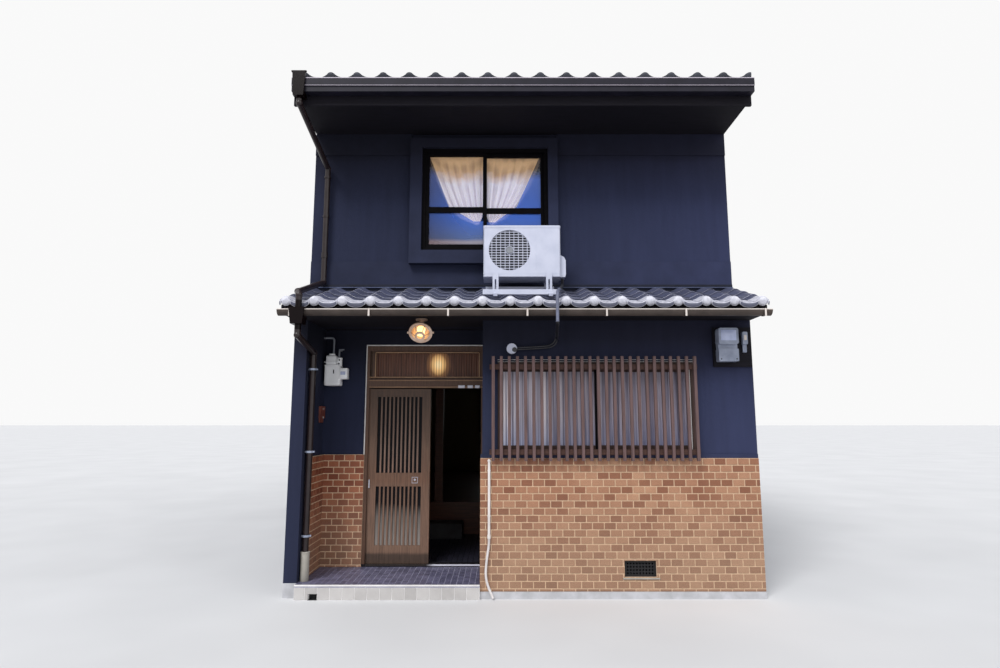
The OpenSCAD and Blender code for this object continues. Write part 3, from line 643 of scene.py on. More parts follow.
def with_painted_light(f, colour):
    """The render with painted shade, deepest close under both eaves, and painted light that makes it paler towards the
    open right end.
    """
    eave_shade_tint = (0.50, 0.44, 0.40)
    # Heights over 5 m: the lower eave meets the wall at 0.57, the upper one at 0.94
    up = f.times(f.wavering("Z", 1.5, 3, 0.12), 0.2)
    # Painted shade: the render darkens in a band under each eave.
    painted_eave_shade = f.ramp(up, (0.42, WHITE), (0.515, eave_shade_tint), (0.57, eave_shade_tint), (0.58, WHITE), (0.82, WHITE),
                   (0.925, (0.60, 0.55, 0.54)), (0.94, (0.42, 0.37, 0.36)))
    # Painted light: darker at the left end, paler and bluer at the right.
    across = f.plus(f.times(f.axis("X"), 0.2), 0.5)
    painted_light_across = f.ramp(across, (0.04, (0.74, 0.74, 0.76)), (0.5, WHITE), (0.96, (1.30, 1.28, 1.38)))
    front = f.within((-SIDE_X + 0.004, BAY_Y - 1, 0), (SIDE_X - 0.004, BAY_Y + 0.85, 7))
    return f.blend(front, colour, f.tinted(colour, painted_light_across, painted_eave_shade))


@maker
def wall_render(f):
    """Charcoal navy render, with plaster on its faces inside the rooms."""
    colour = chosen("wall")
    streaks = f.noise(3.0, 4, 0.6, f.stretched(3.0, 3.0, 0.35))
    cloud = f.ramp(streaks, (0.25, scaled(colour, 0.88)), (0.8, scaled(colour, 1.14)))
    side, rear = SIDE_X - INNER_FACE, REAR_Y - INNER_FACE
    hall_y, upper_y, bay_y, bay_x = BAY_Y + 0.815, BAY_Y + 0.583, BAY_Y + 0.146, -0.278
    floor, bay_top, upper_floor, roof = 0.13, 2.70, 2.83, 7.0
    inside = 0.0
    for corners in [
        ((-side, hall_y, floor), (side, rear, upper_floor)),
        ((-side, upper_y, upper_floor), (side, rear, roof)),
        ((bay_x, bay_y, floor), (side, hall_y, bay_top)),
    ]:
        inside = f.maths("MAXIMUM", inside, f.within(*corners))
    body = f.blend(inside, with_painted_light(f, cloud), chosen("plaster"))
    f.set(Base_Color=body, Roughness=0.85, Specular_IOR_Level=0.2)
    return f.bump(f.plus(f.noise(260, 2), f.times(f.noise(14, 3), 1.6)), 0.004, 0.5)


@maker
def trim_render(f):
    """The wall's own render over boards, a shade lighter."""
    colour = chosen("wall")
    cloud = f.ramp(f.noise(5, 4), (0.3, scaled(colour, 0.8)), (0.8, scaled(colour, 1.1)))
    f.set(Base_Color=with_painted_light(f, cloud), Roughness=0.8, Specular_IOR_Level=0.2)
    return f.bump(f.noise(220, 3), 0.002, 0.5)


@maker
def brick_face(f, painted_shade=WHITE):
    """Brick tiles fired from dark to pale, with burnt patches, paler towards the ground, and darkened by a painted
    shade where one is given.
    """
    # The tint that the alcove's tiles take is painted shade.
    colour = scaled(chosen("brick"), painted_shade)
    firings = [(0.0, (0.62, 0.46, 0.38)), (0.22, (0.74, 0.58, 0.50)), (0.45, (0.92, 0.84, 0.78)),
               (0.7, (1.06, 1.04, 1.0)), (1.0, (1.22, 1.26, 1.24))]
    body = f.ramp(f.stored("shade"), *[(stop, scaled(colour, part)) for stop, part in firings])
    burnt = f.ramp(f.noise(1.3, 3, 0.6), (0.38, (0.80, 0.66, 0.60)), (0.60, (1.05, 1.05, 1.04)))
    paler_below = f.ramp(f.axis("Z"), (0.30, 0.45), (0.85, 0.12), (1.1, 0.0))
    body = f.blend(paler_below, f.tinted(body, burnt, share=0.8), scaled(chosen("joint"), 0.52))
    specks = f.ramp(f.noise(420, 2), (0.35, (0.45, 0.42, 0.4)), (0.6, WHITE))
    f.set(Base_Color=f.tinted(body, specks, share=0.75), Roughness=0.62)
    return f.bump(f.noise(240, 4), 0.0016, 0.6)


@maker
def alcove_brick(f):
    """The same tiles, made darker and redder by painted shade where the alcove is in shadow."""
    return brick_face(f, (0.86, 0.58, 0.47))


@maker
def brick_joint(f):
    colour = chosen("joint")
    f.set(Base_Color=f.ramp(f.noise(40, 4), (0.3, scaled(colour, 0.7)), (0.7, colour)), Roughness=0.95)
    return f.bump(f.noise(500, 2), 0.001, 0.6)


@maker
def smoked_tile(f, depth=(0.2, 0.2, 0.2), gloss=0.12):
    """Smoked clay that differs from tile to tile."""
    # The depth factors darken the clay: partly its own smoked grey, partly painted shade of slopes seen against the
    # light.
    colour = scaled(chosen("roof_tile"), depth)
    body = f.ramp(f.noise(9, 5, 0.65), (0.25, scaled(colour, 0.5)), (0.55, colour), (0.85, scaled(colour, 1.45)))
    shades = f.ramp(f.stored("shade"), (0, scaled(colour, 0.75)), (1, scaled(colour, 1.3)))
    f.set(Base_Color=f.blend(0.55, body, shades), Roughness=f.ramp(f.noise(60, 3), (0.3, 0.42), (0.8, 0.65)),
          Specular_IOR_Level=gloss)
    return f.bump(f.noise(130, 4), 0.0012, 0.5)


@maker
def eave_tile(f):
    """The lower roof's clay, with painted silver highlights along the eave and on the lower edges of the tiles."""
    smoked_tile(f, (0.25, 0.26, 0.36), 0.4)
    highlight_colour = f.ramp(f.noise(30, 4), (0.3, tone("#bcbcc8")), (0.7, tone("#e4e4ee")))
    return f.set(Base_Color=f.blend(f.stored("painted_highlight"), f.colour(), highlight_colour))


def boards(f, colour, along, rough, gloss=0.3):
    """Stained timber whose grain runs along x or z."""
    reach = {"x": (1.2, 22, 22), "z": (22, 22, 1.2)}[along]
    grain = f.noise(3.2, 6, 0.7, f.stretched(*reach))
    body = f.ramp(grain, (0.3, scaled(colour, 0.55)), (0.52, colour), (0.75, scaled(colour, 1.35)))
    f.set(Base_Color=body, Roughness=rough, Specular_IOR_Level=gloss)
    return f.bump(f.noise(6, 6, 0.7, f.stretched(*reach)), 0.0012, 0.6)


@maker
def door_timber(f):
    """Stained timber with painted shade that darkens it towards the head and at the foot, a warmer band at the middle
    rail, and lighter and bluer on the slats of the middle field.
    """
    boards(f, chosen("door_timber"), "z", 0.42, 0.4)
    # Heights over 2 m, from the bottom rail to the head
    height = f.times(f.wavering("Z", 6, 3, 0.03), 0.5)
    # Painted shade: darkest at the foot and under the head, brightest just above the bottom rail.
    painted_door_shade = f.ramp(
        height, (0.135, (0.40, 0.42, 0.44)), (0.150, (1.15, 1.15, 1.15)), (0.20, (1.20, 1.20, 1.20)),
        (0.49, (1.05, 0.98, 0.94)), (0.52, (1.0, 0.86, 0.76)), (0.56, (1.0, 0.88, 0.80)),
        (0.70, (0.92, 0.88, 0.84)), (0.975, (0.46, 0.39, 0.33)),
    )
    slats = f.within((-1.585, -4, 1.118), (-1.092, -3, 1.943))
    return f.set(Base_Color=f.tinted(f.colour(), painted_door_shade, f.blend(slats, WHITE, (1.45, 1.65, 1.95))))


@maker
def frame_timber(f):
    """Stained timber, nearly black below the height of the track that the leaves slide over."""
    boards(f, tone("#553d30"), "z", 0.42)
    return f.set(Base_Color=f.blend(f.maths("LESS_THAN", f.axis("Z"), 0.166), f.colour(), tone("#0c0b11")))


@maker
def lattice_timber(f):
    return boards(f, chosen("lattice"), "z", 0.5)


@maker
def dark_timber(f):
    return boards(f, chosen("dark_timber"), "x", 0.75, 0.15)


@maker
def floor_timber(f):
    return boards(f, tone("#5a3322"), "x", 0.4)


@maker
def rail_timber(f):
    return boards(f, tone("#4a342e"), "x", 0.6, 0.2)


@maker
def bay_frame(f):
    return boards(f, tone("#3b2823"), "z", 0.5)


@maker
def clear_glass(f):
    """Window glass with a painted reflection of an open sky in it."""
    sky = f.ramp(f.noise(1.4, 2), (0.3, tone("#51699e")), (0.7, tone("#6a8ccc")))
    return f.set(Base_Color=sky, Roughness=0.03, Alpha=0.5, IOR=1.5)


@maker
def curtained_glass(f):
    """Window glass with a painted reflection of the sky and a far roof, clearer where a pale curtain hangs behind it.
    """
    sky = f.ramp(
        f.maths("SUBTRACT", f.wavering("Z", 1.6, 2, 0.10), 3.55), (0.02, tone("#5c6076")), (0.13, tone("#b4aebb")),
        (0.17, tone("#6079b0")), (0.42, tone("#447ae8")), (0.88, tone("#6a92f4")), (0.98, tone("#54565e")),
    )
    # Painted reflection: darker and redder towards the left.
    leftward = f.ramp(f.plus(f.axis("X"), 1.1), (0.0, (0.52, 0.34, 0.30)), (0.55, WHITE))
    behind = f.maths("GREATER_THAN", f.axis("Z"), 3.87)
    # Slanting edges of the curtains, as x + slope * z
    for slope, side, limit in [(0.373, "GREATER_THAN", 0.707), (1.62, "GREATER_THAN", 5.745),
                               (-0.446, "LESS_THAN", -1.850), (-1.366, "LESS_THAN", -5.576)]:
        edge = f.plus(f.axis("X"), f.times(f.axis("Z"), slope))
        behind = f.times(behind, f.maths(side, edge, limit))
    haze = f.maths("SUBTRACT", 0.58, f.times(behind, 0.52))
    return f.set(Base_Color=f.tinted(sky, leftward), Roughness=0.03, Alpha=haze, IOR=1.5)


@maker
def curtain_cloth(f):
    """Thin cloth, cream at the top and white below, with painted shade in its fold valleys and a painted glow for the
    daylight that passes through it.
    """
    height = f.maths("SUBTRACT", f.wavering("Z", 5, 3, 0.25), 3.9)
    body = f.ramp(height, (0.57, tone("#f2ecf0")), (0.72, tone("#d8b288")))
    # Painted shade: darker in the valleys of the folds.
    folds = f.ramp(f.stored("shade"), (0.05, (0.66, 0.63, 0.66)), (0.6, (1.02, 1.02, 1.02)))
    body = f.tinted(body, folds)
    # Painted glow: the cloth emits its own colour.
    f.set(Base_Color=body, Roughness=0.9, Emission_Color=body, Emission_Strength=0.3)
    return f.bump(f.cells(900), 0.0004, 0.4)


@maker
def obscure_glass(f):
    """Figured glass of the bay window, with a pale pleated curtain close behind it."""
    pleats = f.noise(8, 3, 0.6, f.stretched(6.0, 1, 0.05))
    body = f.ramp(pleats, (0.36, tone("#706978")), (0.5, tone("#bcb8c6")), (0.62, tone("#f8f2f4")))
    drawn = f.ramp(f.wavering("X", 4, 2, 0.1), (0.10, WHITE), (0.62, (0.52, 0.50, 0.54)), (1.0, (0.46, 0.44, 0.50)))
    height = f.maths("SUBTRACT", f.axis("Z"), 1.38)
    cool = f.ramp(height, (0.0, (0.62, 0.72, 0.95)), (0.35, (1.0, 0.98, 1.0)))
    f.set(Base_Color=f.tinted(body, drawn, cool), Roughness=0.3, IOR=1.5)
    return f.bump(f.cells(140), 0.002, 0.6)


@maker
def frosted_glass(f):
    """Door glass, lit by the street at its foot and dark above."""
    body = f.ramp(f.wavering("Z", 3, 2, -0.12), (0.35, tone("#8a837e")), (0.58, tone("#6c6763")),
                  (0.72, tone("#121115")), (0.97, tone("#0f0e12")))
    f.set(Base_Color=body, Roughness=0.35, IOR=1.5, Specular_IOR_Level=0.08)
    return f.bump(f.cells(140), 0.002, 0.6)


@maker
def reeded_glass(f):
    """Reeded glass over the door, with the glow of the lamp in it."""
    body = f.ramp(f.noise(8, 3, 0.6, f.stretched(6, 1, 0.3)), (0.3, tone("#4a2d22")), (0.8, tone("#7a4f3c")))
    # An upright oval of light around the lamp's image
    across = f.times(f.plus(f.axis("X"), 0.922), 7.0)
    upward = f.times(f.maths("SUBTRACT", f.axis("Z"), 2.303), 5.4)
    away = f.plus(f.times(across, across), f.times(upward, upward))
    glow = f.ramp(away, (0.0, (1.0, 0.76, 0.40)), (0.12, (0.86, 0.52, 0.20)), (0.45, (0.16, 0.075, 0.025)),
                  (1.0, (0.0, 0.0, 0.0)))
    inputs = {"Vector": f.place, "Scale": 11}
    reeds = f.node("ShaderNodeTexWave", "Fac", inputs, wave_type="BANDS", bands_direction="X")
    lined = f.ramp(reeds, (0.2, 0.55), (0.8, 1.0))
    f.set(Base_Color=f.tinted(body, lined, share=0.5), Roughness=0.3, IOR=1.5, Specular_IOR_Level=0.25,
          Emission_Color=f.tinted(glow, lined), Emission_Strength=0.9)
    return f.bump(reeds, 0.004, 0.7)


@maker
def black_trim(f):
    body = f.ramp(f.noise(6, 4), (0.3, tone("#14161f")), (0.8, tone("#222638")))
    f.set(Base_Color=body, Roughness=0.7, Specular_IOR_Level=0.2)
    return f.bump(f.noise(180, 3), 0.0015, 0.5)


@maker
def bronze_frame(f):
    body = f.ramp(f.noise(30, 3), (0.3, tone("#060507")), (0.8, tone("#0e0c10")))
    f.set(Base_Color=body, Roughness=0.5, Specular_IOR_Level=0.04)
    return f.bump(f.noise(300, 2), 0.0004, 0.4)


@maker
def lamp_glow(f):
    return f.set(Base_Color=tone("#ffe2ae"), Roughness=0.3, Emission_Color=tone("#ffdc96"), Emission_Strength=1.6)


@maker
def painted_sill_sheen(f):
    """Metal strip with a painted reflection of the sky along its open end and painted shade under its closed end."""
    painted_sky_sheen = f.ramp(f.plus(f.wavering("X", 9, 3, 0.05), 1.0), (0.0, tone("#2a2320")), (0.10, tone("#d9d9e6")))
    f.set(Base_Color=painted_sky_sheen, Metallic=0.2, Roughness=0.35)
    return f.bump(f.noise(200, 3), 0.0004, 0.5)


def moulded(f, dark, light, rough, metallic=0.0, grain=200, depth=0.0006, gloss=0.5, shaded=0.0):
    """A moulded, cast or painted finish with a little variation, or a fired one that differs from tile to tile."""
    body = f.ramp(f.noise(7, 4), (0.3, tone(dark)), (0.8, tone(light)))
    if shaded:
        ends = (0.0, scaled(tone(dark), 0.8)), (1.0, scaled(tone(light), 1.15))
        body = f.blend(shaded, body, f.ramp(f.stored("shade"), *ends))
    f.set(Base_Color=body, Metallic=metallic, Roughness=rough, Specular_IOR_Level=gloss)
    return f.bump(f.noise(grain, 3), depth, 0.5)


@maker
def tile_grout(f):
    """Pale grout in the open alcove, with painted shade that makes it dark behind the doors."""
    moulded(f, "#85849a", "#a5a4b8", 0.9, gloss=0.2)
    return f.set(Base_Color=f.blend(f.maths("GREATER_THAN", f.axis("Y"), -3.2), f.colour(), tone("#14141c")))


@maker
def pipe_plastic(f):
    """Red-brown plastic, darker on the two hoppers."""
    moulded(f, "#1d1516", "#2c2223", 0.28, gloss=0.35)
    hoppers = f.maths("MAXIMUM", f.within((-3, -5, 2.52), (3, -3, 2.80)), f.within((-3, -5, 4.86), (3, -3, 5.3)))
    return f.set(Base_Color=f.blend(hoppers, f.colour(), tone("#0c0506")),
                 Specular_IOR_Level=f.ramp(hoppers, (0.0, 0.35), (1.0, 0.12)))


@maker
def tape_wrap(f):
    """Grey tape around the line, with painted shade that makes it nearly black where it leaves the unit."""
    moulded(f, "#4c5064", "#7d8196", 0.5, grain=60, depth=0.002)
    return f.set(Base_Color=f.blend(f.maths("GREATER_THAN", f.axis("Z"), 2.945), f.colour(), tone("#17171d")))


# Darkest and lightest colour, roughness, and what else differs
MOULDED = {
    "concrete": dict(dark="#a3a3a6", light="#c4c4c9", rough=0.9, depth=0.002),
    "hall_stone": dict(dark="#39383a", light="#4c4b4e", rough=0.8, gloss=0.3),
    "riser_tile": dict(dark="#a6a2a0", light="#c2bfbd", rough=0.5, shaded=0.4),
    "hall_tile": dict(dark="#15151d", light="#262634", rough=0.45, gloss=0.25, shaded=0.5),
    "paving_tile": dict(dark="#45445a", light="#66647e", rough=0.4, shaded=0.5),
    "joint_grey": dict(dark="#e4e2e2", light="#f6f4f2", rough=0.9),
    "main_gutter_plastic": dict(dark="#12111b", light="#1e1c29", rough=0.5, gloss=0.2),
    "gas_white": dict(dark="#f4f4f6", light="#ffffff", rough=0.4, grain=40, depth=0.004),
    "gutter_plastic": dict(dark="#3c3531", light="#544a45", rough=0.5, gloss=0.2),
    "white_enamel": dict(dark="#b3b7c9", light="#c3c6d6", rough=0.35),
    "grey_plastic": dict(dark="#d0c9c6", light="#e4deda", rough=0.5),
    "aged_brass": dict(dark="#b4937c", light="#ecd6c6", rough=0.3, metallic=0.45),
    "meter_grey": dict(dark="#70788c", light="#a2a9bc", rough=0.4),
    "cast_iron": dict(dark="#101012", light="#1f1e20", rough=0.6, gloss=0.3),
    "intercom_red": dict(dark="#5c2d24", light="#7d4032", rough=0.5),
    "pale_nosing": dict(dark="#cfccca", light="#e6e4e2", rough=0.5),
    "hose_ribs": dict(dark="#c2bcbc", light="#dcd6d4", rough=0.6),
    "black_foam": dict(dark="#16161b", light="#2c2d34", rough=0.35),
    "painted_edge_highlight": dict(dark="#94704f", light="#bd9672", rough=0.4),
    "boss_grey": dict(dark="#6c6f78", light="#85888f", rough=0.5),
    "dark_fan": dict(dark="#1b1c22", light="#30323a", rough=0.55, gloss=0.3),
    "cream_lip": dict(dark="#c4b9b2", light="#ded5ce", rough=0.4),
    "steel_plate": dict(dark="#b4b4c0", light="#d4d4de", rough=0.35, metallic=0.3),
    "lilac_lip_highlight": dict(dark="#a39aa6", light="#c4bcc8", rough=0.4),
    "lip_blue": dict(dark="#3d4666", light="#5d6888", rough=0.5),
    "sleeve_grey": dict(dark="#8f8a82", light="#aaa59c", rough=0.6),
    "meter_glass": dict(dark="#96a0c4", light="#c3cbe6", rough=0.12),
}

# Pieces of the model that stay visible, by finish
CAD_FINISHES = {
    "wall_render": [
        "left_party_wall", "right_party_wall", "bay_front_wall", "bay_side_wall", "entrance_wall_side",
        "entrance_wall_over", "upper_front_wall", "rear_wall",
    ],
    "brick_joint": ["bay_brickwork", "alcove_brickwork"],
    "trim_render": ["wall_trim", "window_surround"],
    "bronze_frame": ["upper_window_frame", "rear_window_frames"],
    "clear_glass": ["rear_window_glass"],
    "curtained_glass": ["upper_window_glass"],
    "frosted_glass": ["door_glass_outer", "door_glass_inner"],
    "reeded_glass": ["transom_glass"],
    "door_timber": ["door_leaf_outer", "door_leaf_inner"],
    "frame_timber": ["entrance_frame"],
    "dark_timber": [
        "pent_roof_frame", "main_roof_deck_front", "main_roof_deck_rear", "main_eaves", "meter_board",
    ],
    "floor_timber": ["raised_floor", "inner_post", "upper_floor"],
    "smoked_tile": ["roof_ridge"],
    "concrete": ["foundation"],
    "hall_stone": ["step_stone"],
    "joint_grey": ["entrance_step"],
    "tile_grout": ["tile_floors"],
    "gutter_plastic": ["pent_gutter"],
    "main_gutter_plastic": ["main_gutters"],
    "pipe_plastic": ["lower_downpipe", "upper_downpipe"],
    "white_enamel": ["ac_unit", "ac_stand"],
    "grey_plastic": ["drain_pipe"],
    "aged_brass": ["porch_lamp"],
    "lamp_glow": ["lamp_globe"],
    "meter_grey": ["electric_meter"],
    "cast_iron": ["vent_grille"],
    "intercom_red": ["intercom"],
}


class Step:
    """What the operators share: each one builds its pieces and says that it is done."""

    def execute(self, context):
        self.build()
        return {"FINISHED"}


class MACHIYA_OT_stage(Step, bpy.types.Operator):
    """Sets the floor, the light and the camera"""

    bl_idname = "machiya.stage"
    bl_label = "Stage"

    CAMERA_PLACE = (-0.230, BAY_Y - 6.18, 1.667)
    CAMERA_TILT = math.radians(8.1)
    SENSOR_WIDTH = 36
    FOCAL_PIXELS = 618
    FRAME_PIXELS = 1000
    # Name, strength, and angular size, tilt and turn in degrees
    SUNS = [("key", 2.4, 25, 42, -28), ("fill", 0.7, 60, 60, 40)]

    def build(self):
        self.camera()
        self.floor()
        for name, strength, size, tilt, turn in self.SUNS:
            lamp = bpy.data.lights.new(name, "SUN")
            lamp.energy = strength
            lamp.angle = math.radians(size)
            self.add(name, lamp, (math.radians(tilt), 0, math.radians(turn)))
        self.sky()
        bpy.context.scene.view_settings.view_transform = "Standard"

    def add(self, name, data, turn):
        thing = bpy.data.objects.new(name, data)
        thing.rotation_euler = turn
        bpy.context.scene.collection.objects.link(thing)
        return thing

    def camera(self):
        camera = bpy.data.cameras.new("camera")
        camera.sensor_width = self.SENSOR_WIDTH
        camera.lens = self.SENSOR_WIDTH * self.FOCAL_PIXELS / self.FRAME_PIXELS
        camera.clip_end = 1000
        view = self.add("camera", camera, (math.pi / 2 + self.CAMERA_TILT, 0, 0))
        view.location = self.CAMERA_PLACE
        bpy.context.scene.camera = view

    def floor(self):
        deselect()
        bpy.ops.mesh.primitive_plane_add(size=600)
        floor = bpy.context.object
        floor.name = "floor"
        f = Finish("pale_floor")
        f.set(Base_Color=f.ramp(f.noise(0.6, 2), (0.3, (0.60, 0.60, 0.61)), (0.8, (0.66, 0.66, 0.67))), Roughness=0.9)
        floor.data.materials.append(f.material)
        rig.stage(floor)

    def sky(self):
        """A cool sky that lights the house, and a pale backdrop for what the camera and the glass see."""
        world = bpy.data.worlds.new("studio")
        bpy.context.scene.world = world
        world.use_nodes = True
        nodes, link = world.node_tree.nodes, world.node_tree.links.new
        nodes.clear()
        ray = nodes.new("ShaderNodeLightPath")
        seen = ray.outputs["Is Camera Ray"]
        for kind in ("Is Transmission Ray", "Is Glossy Ray"):
            either = nodes.new("ShaderNodeMath")
            either.operation = "MAXIMUM"
            link(seen, either.inputs[0])
            link(ray.outputs[kind], either.inputs[1])
            seen = either.outputs[0]
        mix = nodes.new("ShaderNodeMixShader")
        link(seen, mix.inputs[0])
        for socket, colour, strength in [(1, (0.92, 0.95, 1, 1), 0.62), (2, (0.95, 0.95, 0.95, 1), 1.0)]:
            light = nodes.new("ShaderNodeBackground")
            light.inputs["Color"].default_value = colour
            light.inputs["Strength"].default_value = strength
            link(light.outputs[0], mix.inputs[socket])
        link(mix.outputs[0], nodes.new("ShaderNodeOutputWorld").inputs[0])


class MACHIYA_OT_finishes(Step, bpy.types.Operator):
    """Gives every carried-over piece of the model its finish"""

    bl_idname = "machiya.finishes"
    bl_label = "Finishes"

    def build(self):
        for name, nodes in CAD_FINISHES.items():
            for node in nodes:
                NODES[node].data.materials.clear()
                NODES[node].data.materials.append(material(name))


# Bricks


def brick(length, height, proud):
    """One brick tile with eased edges and no back, its left lower corner at the origin."""
    piece = add_box((0, -proud, 0), (length, 0.001, height), edge=0.0022)
    return shape(piece, "FACE", lambda at, way: way.y > 0.9, bpy.ops.mesh.delete, type="FACE")


def brick_wall(width, height, seed, proud=0.004):
    """Running bond in the plane of X and Z, facing -Y, laid down from a full course at the top."""
    size = sizes()
    joint = size.brick_joint
    across, up = size.brick_length + joint, size.brick_height + joint
    field_top = height - joint * 0.4
    courses = math.ceil(field_top / up)
    rows = []
    for odd in (0, 1):
        row = brick(size.brick_length, size.brick_height, proud)
        place(row, (-across + odd * across / 2, 0, field_top - size.brick_height - odd * up))
        repeat(row, math.ceil(width / across) + 2, (across, 0, 0))
        rows.append(repeat(row, (courses + 1 - odd) // 2, (0, 0, -2 * up)))
    wall = settle(join(rows))

    def cell(at):
        course = math.floor((field_top + joint / 2 - at.z) / up)
        return (course, math.floor((at.x - (course % 2) * across / 2 + joint / 2) / across))

    tint_by_place(wall, cell, seed)
    cut_away(wall, (0.001, 0, 0), (-1, 0, 0))
    cut_away(wall, (width - 0.001, 0, 0), (1, 0, 0))
    return cut_away(wall, (0, 0, 0.002), (0, 0, -1))


class MACHIYA_OT_bricks(Step, bpy.types.Operator):
    """Lays the brick tiles of the bay and the alcove"""

    bl_idname = "machiya.bricks"
    bl_label = "Bricks"

    PLINTH = 0.066  # what shows of the foundation under the bay's bricks
    SIDE_FOOT = 0.14
    ALCOVE_FOOT = 0.139
    LAYER = 0.018  # thickness of the model's brick layer
    GAP = 0.003  # around the vent

    def build(self):
        self.bay()
        self.alcove()

    def bay(self):
        low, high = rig.box("bay_brickwork")
        front = place(brick_wall(high.x - low.x, high.z - self.PLINTH, 3), (low.x, low.y, self.PLINTH))
        vent_low, vent_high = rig.box("vent_grille")
        subtract(front, add_box((vent_low.x - self.GAP, low.y - 0.05, vent_low.z - self.GAP),
                                (vent_high.x + self.GAP, low.y + 0.05, vent_high.z + self.GAP), edge=0.001))
        finish_piece(front, "bay_bricks_front", "brick_face", "brick", smooth=0)
        lip = add_box((vent_low.x - 0.018, low.y - 0.016, vent_low.z - 0.018),
                      (vent_high.x + 0.030, low.y + 0.012, vent_low.z - 0.004), edge=0.003)
        shape(lip, "VERT", lambda co: co.y < low.y and co.z > vent_low.z - 0.010,
              bpy.ops.transform.translate, value=(0, 0, -0.003))
        finish_piece(lip, "vent_lip", "sleeve_grey", "concrete")
        side = brick_wall(high.y - low.y - self.LAYER, high.z - self.SIDE_FOOT, 5, 0.003)
        place(side, (low.x, high.y, self.SIDE_FOOT), (0, 0, -math.pi / 2))
        finish_piece(side, "bay_bricks_side", "alcove_brick", "brick", smooth=0)

    def alcove(self):
        low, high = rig.box("alcove_brickwork")
        foot, wall_x = self.ALCOVE_FOOT, -SIDE_X + 0.16
        left = brick_wall(high.y - low.y - self.LAYER, high.z - foot, 7, 0.003)
        place(left, (wall_x, low.y, foot), (0, 0, math.pi / 2))
        jamb_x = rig.box("entrance_frame")[0].x - 0.0005
        back = brick_wall(jamb_x + SIDE_X - 0.16, high.z - foot, 9, 0.003)
        place(back, (wall_x, high.y - self.LAYER, foot))
        backing = add_box((high.x - 0.01, high.y - 0.0176, foot - 0.002),
                          (jamb_x, high.y + 0.001, high.z - 0.0005), edge=0.001)
        finish_piece(backing, "brick_backing", "brick_joint", "brick")
        finish_piece([left, back], "alcove_bricks", "alcove_brick", "brick", smooth=0)


# Roof tiles

TILE_RISE = 0.042  # height of a tile's roll
TILE_TOP = 0.026  # height of its pan above the deck


def wave(across):
    """Height of a pan tile at a share of its width from the middle of its roll."""
    return TILE_RISE * ((1 + math.cos(math.tau * across)) / 2) ** 2


def laid_across(tile, first_roll):
    """A row of tiles that reaches past both party walls."""
    pitch = sizes().tile_pitch
    place(tile, (first_roll - pitch, 0, 0))
    return repeat(tile, math.ceil(2 * SIDE_X / pitch) + 2, (pitch, 0, 0))


def pan_tile(columns, length):
    """One S-shaped tile: its roll lies over the edge of the tile on its left."""
    pitch = sizes().tile_pitch
    start, end, lap, lift = -0.34, 0.70, 0.035, 0.015
    whole = length + lap

    def bend(across, up):
        share = start + across * (end - start)
        under = 0.011 * max(0.0, (share - 0.58) / 0.12)
        return (share * pitch, up * whole, TILE_TOP + wave(share) + lift * (1 - up * whole / length) - under)

    return modify(add_sheet(columns, 2, bend), "SOLIDIFY", thickness=0.013, offset=-1)


def tile_field(first_roll, run, courses, columns, seed, near):
    """All the tiles of one slope, in the slope's own plane, from the eave upwards."""
    length = run / courses
    tile = pan_tile(columns, length)
    if near:
        soften(tile, 0.0016)
    faces = len(tile.data.polygons)
    repeat(laid_across(tile, first_roll), courses, (0, length, 0))

    def highlit(face):
        """Painted highlight: most along the eave, and further up only on the lower edge of each tile."""
        up = face.center.y
        if up < length * 0.55:
            return 0.75
        if up % length >= 0.012:
            return 0.0
        return 0.8 if up < length * 1.1 else 0.36

    return tint_copies(mark_highlight(tile, highlit), faces, seed)


def eave_tiles(first_roll, seed):
    """The round ends of the rolls, with a curved apron hanging from each pan."""
    pitch = sizes().tile_pitch
    disc = add_rod((0, -0.006, TILE_RISE), (0, 0.03, TILE_RISE), 0.046, sides=28)
    inset_front(disc, 0.004)
    for thickness, depth in [(0.006, 0.006), (0.010, 0.004), (0.012, 0.002)]:
        inset_front(disc, thickness, depth, lambda at, way: abs(at.x) < 0.001 and abs(at.z - TILE_RISE) < 0.001)
    soften(disc, 0.0012)
    # The round ends take the full painted highlight.
    mark_highlight(disc, lambda face: 1.0)

    def hang(across, up):
        """An apron that follows the pan above and is deepest in its middle."""
        share = 0.16 + across * 0.68
        drop = 0.050 - 0.014 * abs(2 * share - 1)
        return (share * pitch, -0.006, TILE_TOP + wave(share) + 0.004 - (1 - up) * drop)

    apron = modify(add_sheet(18, 2, hang), "SOLIDIFY", thickness=0.014, offset=1)
    soften(apron, 0.006, 2)
    # Painted highlight on the apron, least on its front faces.
    mark_highlight(apron, lambda face: 0.12 if face.normal.y < -0.95 else 0.9)
    tile = settle(join([disc, apron]))
    faces = len(tile.data.polygons)
    return tint_copies(laid_across(tile, first_roll), faces, seed)


